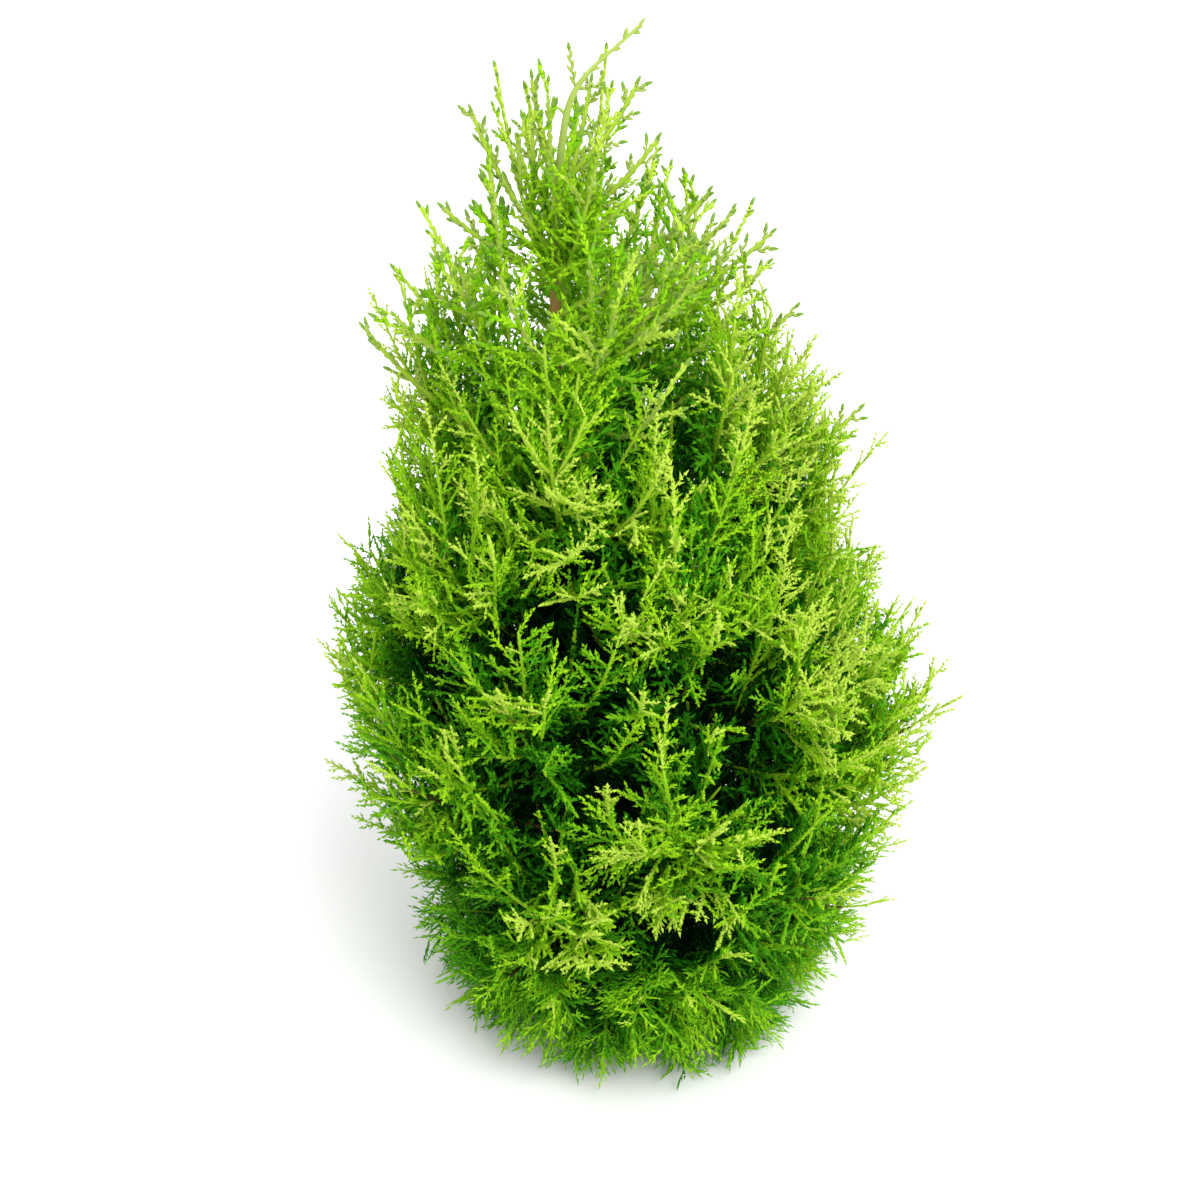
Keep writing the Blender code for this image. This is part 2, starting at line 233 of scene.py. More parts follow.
class Shape:
    """Meshes gathered for one piece."""

    def __init__(self) -> None:
        """Starts empty."""
        self.meshes: list[Mesh] = []

    def add(self, mesh: Mesh) -> None:
        """Takes in one mesh."""
        self.meshes.append(mesh)

    def add_copies(self, mesh: Mesh, roots: Array, axes: Array, sizes: Array) -> None:
        """Takes in copies of one mesh.

        Args:
            mesh: The mesh in its own frame.
            roots: Where each copy's origin goes.
            axes: Each copy's own X, Y and Z directions, as rows.
            sizes: How much each copy is scaled.
        """
        vertices, faces = mesh
        placed = np.einsum("vj,njk->nvk", vertices, axes) * sizes[:, None, None] + roots[:, None]
        shifts = len(vertices) * np.arange(len(roots))
        self.add((placed.reshape(-1, 3), (faces[None] + shifts[:, None, None]).reshape(-1, 3)))

    def merged(self) -> Mesh:
        """Joins its meshes.

        Returns:
            The vertices and triangles of them all.
        """
        starts = np.cumsum([0] + [len(vertices) for vertices, _ in self.meshes])
        vertices = np.concatenate([vertices for vertices, _ in self.meshes])
        faces = np.concatenate([faces + start for (_, faces), start in zip(self.meshes, starts)])
        return vertices, faces

    def split(self, most: int) -> list["Shape"]:
        """Deals its meshes out, in their order, to shapes of a limited size.

        Args:
            most: How many triangles a shape may hold.

        Returns:
            The shapes.
        """
        parts = [Shape()]
        for mesh in self.meshes:
            if parts[-1].triangles + len(mesh[1]) > most:
                parts.append(Shape())
            parts[-1].add(mesh)
        return parts

    def build(self, name: str, smooth: bool = True) -> bpy.types.Object:
        """Makes the object.

        Args:
            name: The piece's name.
            smooth: Whether its faces are shaded smooth.

        Returns:
            The new object, linked to the scene.
        """
        vertices, faces = self.merged()
        vertices = vertices.astype(np.float32)
        vertices[:, 2] = np.maximum(vertices[:, 2], 0.0)
        faces = faces.astype(np.int32)
        mesh = bpy.data.meshes.new(name)
        mesh.vertices.add(len(vertices))
        mesh.vertices.foreach_set("co", vertices.ravel())
        mesh.loops.add(faces.size)
        mesh.loops.foreach_set("vertex_index", faces.ravel())
        mesh.polygons.add(len(faces))
        mesh.polygons.foreach_set("loop_start", np.arange(0, faces.size, 3, dtype=np.int32))
        mesh.polygons.foreach_set("use_smooth", np.full(len(faces), smooth))
        mesh.update(calc_edges=True)
        made = bpy.data.objects.new(name, mesh)
        bpy.context.scene.collection.objects.link(made)
        return made

    @property
    def triangles(self) -> int:
        """How many triangles it holds."""
        return sum(len(faces) for _, faces in self.meshes)


@dataclass(frozen=True)
class Dent:
    """A side of the crown where the growth falls short of the outline. The azimuth is in degrees."""

    azimuth: float
    height: float
    depth: float
    spread: float = 38.0
    rise: float = 0.030

    def at(self, azimuths: Array, heights: Array) -> Array:
        """Reads the dent.

        Args:
            azimuths: The azimuth of each point, in degrees.
            heights: The height of each point.

        Returns:
            How far short of the outline the growth falls at each.
        """
        turned = (azimuths - self.azimuth + 180) % 360 - 180
        away = -(turned / self.spread) ** 2 - ((heights - self.height) / self.rise) ** 2
        return self.depth * np.exp(away)


@dataclass(frozen=True)
class Crown:
    """The crown's outline: a round envelope whose middle wanders sideways with height."""

    height: float = 0.452
    clearance: float = 0.005
    lift: float = 0.0005
    slack: float = 1.03
    axis: tuple = ((0.0, 0.005), (0.14, 0.009), (0.24, 0.003), (0.30, 0.001), (0.345, -0.013),
                   (0.375, -0.008), (0.42, -0.019), (0.452, -0.017))
    radius: tuple = ((0.0, 0.100), (0.04, 0.118), (0.09, 0.129), (0.15, 0.144), (0.20, 0.139),
                     (0.25, 0.120), (0.30, 0.101), (0.345, 0.091), (0.375, 0.073), (0.42, 0.039),
                     (0.452, 0.016))
    dents: tuple = (Dent(0, 0.395, 0.014), Dent(0, 0.232, 0.011, 30, 0.024),
                    Dent(36, 0.205, 0.013, 24, 0.026), Dent(0, 0.170, 0.005),
                    Dent(-15, 0.028, 0.013, 22, 0.022), Dent(180, 0.110, 0.005),
                    Dent(0, 0.336, 0.013), Dent(0, 0.250, 0.018), Dent(0, 0.150, 0.007),
                    Dent(-12, 0.108, 0.009), Dent(180, 0.240, 0.009),
                    Dent(-36, 0.074, 0.011, 22, 0.022), Dent(-165, 0.150, 0.004, 30, 0.030),
                    Dent(180, 0.075, 0.017), Dent(-155, 0.018, 0.012, 24),
                    Dent(-105, 0.004, 0.011, 34, 0.026), Dent(-48, 0.012, 0.013, 16),
                    Dent(-88, 0.000, 0.020, 5, 0.024))

    @property
    def lowest(self) -> float:
        """The lowest height that an arm or a spray is bent to."""
        return self.clearance + self.lift

    def point(self, azimuth: float, height: float) -> Array:
        """Finds a point of the outline.

        Args:
            azimuth: Its azimuth, in radians.
            height: Its height.

        Returns:
            The point.
        """
        reach = smooth_value(self.radius, height)
        middle = smooth_value(self.axis, height)
        return np.array([middle + reach * math.cos(azimuth), reach * math.sin(azimuth), height])

    def depth(self, points: Array) -> Array:
        """Measures how far inside the outline points lie.

        Args:
            points: The points.

        Returns:
            The distance of each from the outline, measured sideways and negative outside.
        """
        x, y, z = points.T
        x = x - smooth_value(self.axis, z)
        azimuths = np.degrees(np.arctan2(y, x))
        short = sum(dent.at(azimuths, z) for dent in self.dents)
        return self.slack * smooth_value(self.radius, z) - short - np.hypot(x, y)

    def holds(self, points: Array, inset: float = 0.0) -> Array:
        """Whether each point is above ground and this far within the outline."""
        z = points[:, 2]
        return (self.depth(points) >= inset) & (z >= self.clearance) & (z <= self.height)


CROWN = Crown()


class Tint(Enum):
    """The greens of the foliage, from the lightest to the darkest, in linear RGB: the light ones stand for
    young growth and painted light, the dark ones for painted shade deep inside the crown.
    """

    LEMON = (0.440, 0.640, 0.060)
    LIME = (0.285, 0.565, 0.011)
    LEAF = (0.172, 0.448, 0.008)
    GREEN = (0.063, 0.288, 0.005)
    # DEEP and INNER are painted shade: dark and near-black greens for the sprays deep inside the crown.
    DEEP = (0.017, 0.135, 0.001)
    INNER = (0.002, 0.032, 0.0005)
    OLIVE = (0.330, 0.455, 0.080)
    SAGE = (0.185, 0.335, 0.045)


TINTS = (Tint.LEMON, Tint.LIME, Tint.LEAF, Tint.GREEN, Tint.DEEP, Tint.INNER)


class Make(Enum):
    """How the branchlets of a spray are made, from the plainest to the fullest."""

    BLADE = "one flat blade"
    CORD = "overlapping pointed scales"
    KNOBS = "overlapping blunt scales with a swollen end"


class Kind(Enum):
    """How the sprays of a place grow."""

    OPEN = "open"
    LOOSE = "loose"
    FULL = "full"
    FINE = "fine"
    SHADED = "shaded"
    INNER = "inner"


@dataclass(frozen=True)
class SprayForm:
    """The build of one kind of spray. Lengths in metres, angles in radians."""

    make: Make
    lengths: tuple
    gap: float
    branchlet: float
    angle: float
    core_radius: float
    scale_gap: float = 0.0
    scale_length: float = 0.0
    scale_radius: float = 0.0
    stray: float = 0.5
    scale_angle: float = math.radians(30)
    variants: int = 4


FORMS = {
    Kind.OPEN: SprayForm(Make.KNOBS, (0.012, 0.020, 0.030), 0.0074, 0.0094, math.radians(42),
                         0.00062, 0.0019, 0.0038, 0.00080, scale_angle=math.radians(25)),
    Kind.LOOSE: SprayForm(Make.CORD, (0.015, 0.024, 0.033, 0.041), 0.0038, 0.0138, math.radians(43),
                          0.00062, 0.00170, 0.0029, 0.00082, scale_angle=math.radians(37)),
    Kind.FULL: SprayForm(Make.CORD, (0.013, 0.020, 0.028, 0.037), 0.0034, 0.0128, math.radians(42),
                         0.00056, 0.00160, 0.0027, 0.00078, scale_angle=math.radians(37)),
    Kind.FINE: SprayForm(Make.CORD, (0.013, 0.020, 0.028), 0.0030, 0.0145, math.radians(29),
                         0.00045, 0.0025, 0.0042, 0.00062, scale_angle=math.radians(23)),
    Kind.SHADED: SprayForm(Make.CORD, (0.016, 0.026), 0.0034, 0.0130, math.radians(42),
                           0.00050, 0.0028, 0.0037, 0.00090, variants=3),
    Kind.INNER: SprayForm(Make.BLADE, (0.022, 0.034), 0.0020, 0.0120, math.radians(46), 0.0012,
                          stray=0.9, variants=3),
}


@dataclass
class Spray:
    """One shape of spray in its own frame: it grows along +X, spread out in the XY plane."""

    length: float
    core: Shape = field(default_factory=Shape)
    base: Shape = field(default_factory=Shape)
    tip: Shape = field(default_factory=Shape)

    def parts(self) -> tuple[Shape, Shape, Shape]:
        """Its green shoot, the branchlets near its foot and those near its tip."""
        return self.core, self.base, self.tip


@dataclass(frozen=True)
class SprayMaker:
    """Makes the shapes of spray that the plumes are set with."""

    sink: float = 0.0006
    first_place: float = 0.10
    last_place: float = 0.97
    tip_share: float = 0.58
    bend: float = 0.10
    lifts: tuple = (0.3, 1.0)
    forward: float = 0.14
    ring_gap: float = 0.009
    foot_share: float = 0.05
    shoot_cut: float = 0.55
    shoot_taper: tuple = (0.95, 0.70)
    shoot_bare: float = 0.002
    angle_range: tuple = (0.88, 1.12)
    branchlet_range: tuple = (0.66, 1.16)
    short_share: float = 0.45
    full_length: float = 0.045
    end_branchlet: float = 0.60
    end_sink: float = 0.001
    spine: float = 0.85
    bare: float = 0.0006
    end_turn: float = 0.15
    turn_range: tuple = (0.7, 1.25)
    tilt_range: tuple = (-0.55, 0.75)
    foot_size: float = 1.10
    size_loss: float = 0.40
    size_range: tuple = (0.70, 1.25)
    width_range: tuple = (0.85, 1.1)
    blunt_place: float = 0.66
    blunt_taper: tuple = (1.0, 0.86)
    bud_length: float = 0.0046
    bud_radius: float = 0.00084
    bud_range: tuple = (0.8, 1.2)
    bud_rings: tuple = (-0.55, -0.15, 0.25, 0.50)
    bud_taper: tuple = (1.0, 0.72)
    widest: tuple = ((0.0, 0.62), (0.28, 1.0), (0.7, 0.72), (1.0, 0.40))
    widest_place: float = 0.34
    keel: float = 0.35
    blade_faces = np.array([(0, 1, 2), (0, 3, 1)])

    def blade(self, shape: Shape, root: Array, way: Array, flat: Array, length: float,
              radius: float) -> None:
        """Adds a flat blade: two faces folded along its keel, with a pointed end.

        Args:
            shape: What it is added to.
            root: Its foot.
            way: Its direction.
            flat: The direction square to it.
            length: Its length.
            radius: Half its width.
        """
        side = unit(np.cross(flat, way)) * radius
        shoulder = root + way * (self.widest_place * length) - flat * (self.keel * radius)
        corners = np.stack([root, root + way * length, shoulder + side, shoulder - side])
        shape.add((corners, self.blade_faces))

    def scale(self, shape: Shape, make: Make, root: Array, way: Array, length: float, radius: float,
              turn: float) -> None:
        """Adds a scale leaf that stands off its twig: slim and pointed, or blunt on open shoots.

        Args:
            shape: What it is added to.
            make: How the spray's branchlets are made.
            root: Its foot.
            way: Its direction.
            length: Its length.
            radius: Its radius at its foot.
            turn: How far its sides are turned about it, in radians.
        """
        if make is Make.KNOBS:
            path = np.stack([root, root + way * (self.blunt_place * length), root + way * length])
            shape.add(tube(path, radius * np.array(self.blunt_taper), 4, turn))
        else:
            shape.add(tube(np.stack([root, root + way * length]), np.array([radius]), 3, turn))

    def branchlet(
        self, shape: Shape, form: SprayForm, root: Array, way: Array, ahead: Array, flat: Array,
        length: float, draw: np.random.Generator,
    ) -> None:
        """Adds a branchlet: a slim spine with its scale leaves, or a blade.

        Args:
            shape: What it is added to.
            form: The kind of spray that it is part of.
            root: Where it leaves the shoot.
            way: Its direction at its foot.
            ahead: The shoot's direction, which it bends to.
            flat: The direction square to the spray.
            length: Its length.
            draw: The seeded random numbers.
        """
        if form.make is Make.BLADE:
            self.blade(shape, root - way * self.sink, way, flat, length, form.core_radius)
            return
        t = np.linspace(0.0, 1.0, 4)[:, None]
        path = root + way * (length * t) + ahead * (self.forward * length * t**2)
        spine = np.array([self.spine * form.core_radius])
        shape.add(tube(path[::3], spine, 3, draw.uniform(0, math.tau)))
        self.set_scales(shape, form, Route(path), self.bare, flat, draw)

    def set_scales(self, shape: Shape, form: SprayForm, path: Route, start: float, flat: Array,
                   draw: np.random.Generator) -> None:
        """Sets scale leaves along a stem, to its two sides in turn.

        Args:
            shape: What they are added to.
            form: The kind of spray.
            path: The stem.
            start: The length along it where they begin.
            flat: The direction square to the spray.
            draw: The seeded random numbers.
        """
        count = max(1, int((path.length - start) / form.scale_gap))
        hand = draw.choice((-1, 1))
        feet = start + (path.length - start) * np.arange(count) / count
        for i, (foot, point) in enumerate(zip(feet, path.at(feet))):
            way = path.way(foot)
            side = np.cross(flat, way) * (hand if i % 2 else -hand)
            last = i == count - 1
            turn = form.scale_angle * (self.end_turn if last else draw.uniform(*self.turn_range))
            out = unit(side + flat * draw.uniform(*self.tilt_range))
            out = way * math.cos(turn) + out * math.sin(turn)
            size = form.scale_length * (self.foot_size - self.size_loss * foot / path.length)
            size = size * draw.uniform(*self.size_range)
            radius = form.scale_radius * draw.uniform(*self.width_range)
            self.scale(shape, form.make, point, out, size, radius, draw.uniform(0, math.tau))

    def spray(self, form: SprayForm, length: float, draw: np.random.Generator) -> Spray:
        """Makes one spray.

        Args:
            form: Its kind.
            length: Its length from foot to tip.
            draw: The seeded random numbers.

        Returns:
            The spray, in its own frame.
        """
        made = Spray(length)
        flat = UP
        lift = draw.uniform(*self.lifts) * self.bend
        lean = draw.uniform(-1, 1) * self.bend
        shoot = length - self.shoot_cut * form.branchlet
        rings = 1 if form.make is Make.BLADE else max(2, round(shoot / self.ring_gap))
        t = np.linspace(-self.foot_share, 1, rings + 2)[:, None]
        path = Route(np.hstack([shoot * t, lean * shoot * t**2, lift * shoot * t**2]))
        radii = form.core_radius * np.linspace(*self.shoot_taper, rings)
        made.core.add(rod(path.points, radii, 3, draw.uniform(0, math.tau)))
        if form.make in (Make.CORD, Make.KNOBS):
            self.set_scales(made.core, form, path, self.shoot_bare, flat, draw)
        count = max(2, round(shoot * (1 - self.first_place) / form.gap))
        hand = draw.choice((-1, 1))
        for i in range(count):
            share = self.first_place + (self.last_place - self.first_place) * i / (count - 1)
            ahead = path.way(share * path.length)
            side = np.cross(flat, ahead) * (hand if i % 2 else -hand)
            side = unit(side + flat * draw.uniform(-form.stray, 1.3 * form.stray))
            angle = form.angle * draw.uniform(*self.angle_range)
            way = unit(ahead * math.cos(angle) + side * math.sin(angle))
            size = form.branchlet * smooth_value(self.widest, share)
            size = size * draw.uniform(*self.branchlet_range)
            size *= min(1.0, self.short_share + length / self.full_length)
            part = made.tip if share > self.tip_share and form.make is not Make.KNOBS else made.base
            foot = path.at(share * path.length)
            self.branchlet(part, form, foot, way, ahead, flat, size, draw)
            if form.make is Make.KNOBS:
                self.bud(made.tip, foot + way * size + ahead * (self.forward * size), way, draw)
        end = path.way(path.length)
        last = self.end_branchlet * form.branchlet
        part = made.base if form.make is Make.KNOBS else made.tip
        self.branchlet(part, form, path.points[-1] - end * self.end_sink, end, end, flat, last, draw)
        if form.make is Make.KNOBS:
            self.bud(made.tip, path.points[-1] + end * last, end, draw)
        return made

    def bud(self, shape: Shape, end: Array, way: Array, draw: np.random.Generator) -> None:
        """Adds the swollen end of an open shoot.

        Args:
            shape: What it is added to.
            end: The end of the shoot.
            way: The shoot's direction there.
            draw: The seeded random numbers.
        """
        length = self.bud_length * draw.uniform(*self.bud_range)
        path = end + way * (length * np.array(self.bud_rings)[:, None])
        radii = self.bud_radius * np.array(self.bud_taper)
        shape.add(rod(path, radii, 5, draw.uniform(0, math.tau)))

    def library(self) -> dict[Kind, list[list[Spray]]]:
        """Makes every shape of spray.

        Returns:
            The shapes, by kind and then by length.
        """
        draw = seeded(Stream.LIBRARY)
        return {
            kind: [[self.spray(form, length, draw) for _ in range(form.variants)]
                   for length in form.lengths]
            for kind, form in FORMS.items()
        }


@dataclass(frozen=True)
class Tier:
    """One ring of plumes. Angles are in degrees, lengths in metres."""

    name: str
    count: int
    turn: float
    root_height: float
    tip_height: float
    sag: float
    bough_share: float
    bare_share: float
    kind: Kind
    arm_gap: float
    spray_gap: float
    arm_lift: float
    # The tier's tint lightness rises up the crown: partly for the younger growth at the top, partly as
    # painted light from above.
    youth_and_light: float


TIERS = (
    Tier("skirt", 7, -98, 0.030, 0.012, -0.018, 0.0, 0.20, Kind.FINE, 0.0036, 0.0034, -0.30, 0.48),
    Tier("low", 7, -72, 0.044, 0.070, 0.003, 0.0, 0.20, Kind.FINE, 0.0039, 0.0041, 0.02, 0.49),
    Tier("belly", 6, -112, 0.060, 0.130, 0.013, 0.42, 0.26, Kind.FULL, 0.0044, 0.0044, 0.22, 0.58),
    Tier("waist", 6, -78, 0.084, 0.182, 0.021, 0.40, 0.26, Kind.FULL, 0.0044, 0.0044, 0.30, 0.62),
    Tier("middle", 5, -114, 0.122, 0.232, 0.026, 0.0, 0.18, Kind.FULL, 0.0043, 0.0043, 0.32, 0.68),
    Tier("shoulder", 5, -72, 0.168, 0.282, 0.029, 0.0, 0.18, Kind.LOOSE, 0.0045, 0.0048, 0.38, 0.77),
    Tier("upper", 4, -100, 0.218, 0.338, 0.031, 0.0, 0.16, Kind.LOOSE, 0.0049, 0.0053, 0.42, 0.86),
    Tier("neck", 4, 10, 0.282, 0.384, 0.026, 0.0, 0.15, Kind.OPEN, 0.0082, 0.0086, 0.50, 0.92),
    Tier("crest", 3, 180, 0.346, 0.434, 0.023, 0.0, 0.10, Kind.OPEN, 0.0170, 0.0140, 0.60, 0.96),
)


@dataclass(frozen=True)
class Zone:
    """Tiers whose growth is joined into the same pieces."""

    name: str
    tiers: tuple
    slot: str


ZONES = (
    Zone("skirt", ("skirt", "low"), "leaf_deep"),
    Zone("belly", ("belly", "waist"), "leaf_mid"),
    Zone("middle", ("middle", "shoulder"), "leaf_mid"),
    Zone("upper", ("upper", "neck", "crest"), "leaf_lime"),
)


@dataclass(frozen=True)
class TrunkForm:
    """The trunk's lean, taper and flare."""

    axis: tuple = ((0.0, 0.0), (0.10, -0.010), (0.20, -0.0200), (0.30, -0.0265), (0.37, -0.0258),
                   (0.41, -0.0225), (0.43, -0.0160), (0.452, 0.0070))
    radius: tuple = ((0.0, 0.0098), (0.010, 0.0076), (0.035, 0.0064), (0.15, 0.0050), (0.30, 0.0028),
                     (0.38, 0.0017), (0.425, 0.00125), (0.436, 0.0008), (0.452, 0.0006))

    def point(self, heights: Array | float) -> Array:
        """The points of the trunk's axis at these heights."""
        heights = np.asarray(heights, dtype=float)
        return np.stack([smooth_value(self.axis, heights), 0 * heights, heights], axis=-1)


TRUNK = TrunkForm()


@dataclass(frozen=True)
class Hollow:
    """A dark gap between plumes: of the sprays on arms and limb ends, only the inner ones grow there,
    tinted as painted shade.
    """

    x: float
    y: float
    z: float
    radius: float

    def keeps_out(self, points: Array) -> Array:
        """Whether each point lies in the gap."""
        return np.linalg.norm(points - (self.x, self.y, self.z), axis=1) < self.radius


HOLLOWS = (
    Hollow(0.050, -0.122, 0.237, 0.017),
    Hollow(0.050, -0.100, 0.223, 0.017),
    Hollow(0.062, -0.115, 0.198, 0.014),
    Hollow(-0.040, -0.130, 0.197, 0.015),
    Hollow(-0.040, -0.110, 0.183, 0.016),
    Hollow(-0.026, -0.132, 0.180, 0.012),
    Hollow(0.043, -0.128, 0.144, 0.014),
    Hollow(0.007, -0.093, 0.307, 0.008),
    Hollow(0.029, -0.100, 0.277, 0.010),
)


@dataclass(frozen=True)
class LightAndShadePatch:
    """A patch of painted light that lifts the tint of the sprays in it; with a negative gain, a patch of
    painted shade.
    """

    x: float
    y: float
    z: float
    radius: float = 0.038
    gain: float = 0.20

    def at(self, point: Array) -> float:
        """How much lighter the spray there is painted; darker where the gain is negative."""
        apart = float(np.linalg.norm(point - (self.x, self.y, self.z)))
        return self.gain * max(0.0, 1 - (apart / self.radius) ** 2)


# Painted light on the lit plumes; the negative gains are painted shade on darker sides.
LIGHT_AND_SHADE_PATCHES = (
    LightAndShadePatch(0.044, -0.071, 0.345),
    LightAndShadePatch(0.001, -0.099, 0.308),
    LightAndShadePatch(0.012, -0.111, 0.273),
    LightAndShadePatch(-0.031, -0.114, 0.253),
    LightAndShadePatch(-0.070, -0.108, 0.221),
    LightAndShadePatch(-0.005, -0.142, 0.168),
    LightAndShadePatch(0.027, -0.136, 0.124),
    LightAndShadePatch(0.106, -0.078, 0.227, gain=0.12),
    LightAndShadePatch(0.085, -0.050, 0.265, 0.060, 0.12),
    LightAndShadePatch(0.000, -0.138, 0.100, 0.050, 0.20),
    LightAndShadePatch(-0.085, -0.085, 0.075, 0.065, -0.22),
    LightAndShadePatch(0.118, -0.030, 0.190, 0.060, -0.06),
    LightAndShadePatch(0.090, -0.080, 0.075, 0.062, -0.22),
    LightAndShadePatch(-0.107, -0.030, 0.205, 0.055, 0.20),
)


@dataclass
class Growth:
    """One spray as it is set on its limb."""

    kind: Kind
    zone: str
    root: Array
    way: Array
    flat: Array
    length: float
    # How light the spray's tint is: young growth, painted light and painted shade together.
    youth_and_light: float


@dataclass
class Limb:
    """A limb of the solids: its whole path, from the trunk's axis to its plume's furthest tip."""

    tier: Tier
    index: int
    samples: int = 28
    bend: float = 0.55

    def route(self) -> Route:
        """Works out the limb's path, by the rule that the solids follow.

        Returns:
            The path.
        """
        azimuth = math.radians(self.tier.turn + 360 * self.index / self.tier.count)
        root = TRUNK.point(self.tier.root_height)
        tip = CROWN.point(azimuth, self.tier.tip_height)
        middle = root + (tip - root) * self.bend
        middle[2] -= self.tier.sag
        return Route(bezier(root, middle, tip, self.samples))


class Space:
    """Tells which limb a point belongs to: the nearest one, with a little overlap."""

    samples_each: int = 28

    def __init__(self, routes: list[Route]) -> None:
        """Takes evenly spaced points of every limb."""
        self.samples = np.stack([route.cut(0, route.length, self.samples_each).points for route in routes])

    def holds(self, own: int, points: Array, overlap: float) -> Array:
        """Tells which points are a limb's own.

        Args:
            own: The limb's number.
            points: The points.
            overlap: How much further off than the nearest other limb a point may be.

        Returns:
            Whether each point is the limb's own.
        """
        apart = np.linalg.norm(points[:, None, None] - self.samples[None], axis=3).min(axis=2)
        mine = apart[:, own].copy()
        apart[:, own] = np.inf
        return apart.min(axis=1) - mine > -overlap


@dataclass(frozen=True)
class Dressing:
    """How sprays are set along a stem, from its end inwards. Lengths in metres, angles in radians."""

    first: float
    shortest: float
    growth: float
    # The tint lightness: lighter towards the stem's end by gain, fade, vary and end_gain, partly for young
    # growth and partly as painted light on the crown's outside.
    gain: float
    fade: float
    vary: float
    end_angle: float
    end_gain: float


TIP_DRESSING = Dressing(first=0.003, shortest=0.009, growth=0.36, gain=0.18, fade=3.0, vary=0.08,
                        end_angle=0.05, end_gain=0.22)
ARM_DRESSING = Dressing(first=0.004, shortest=0.011, growth=0.48, gain=0.0, fade=2.2, vary=0.12,
                        end_angle=0.06, end_gain=0.10)


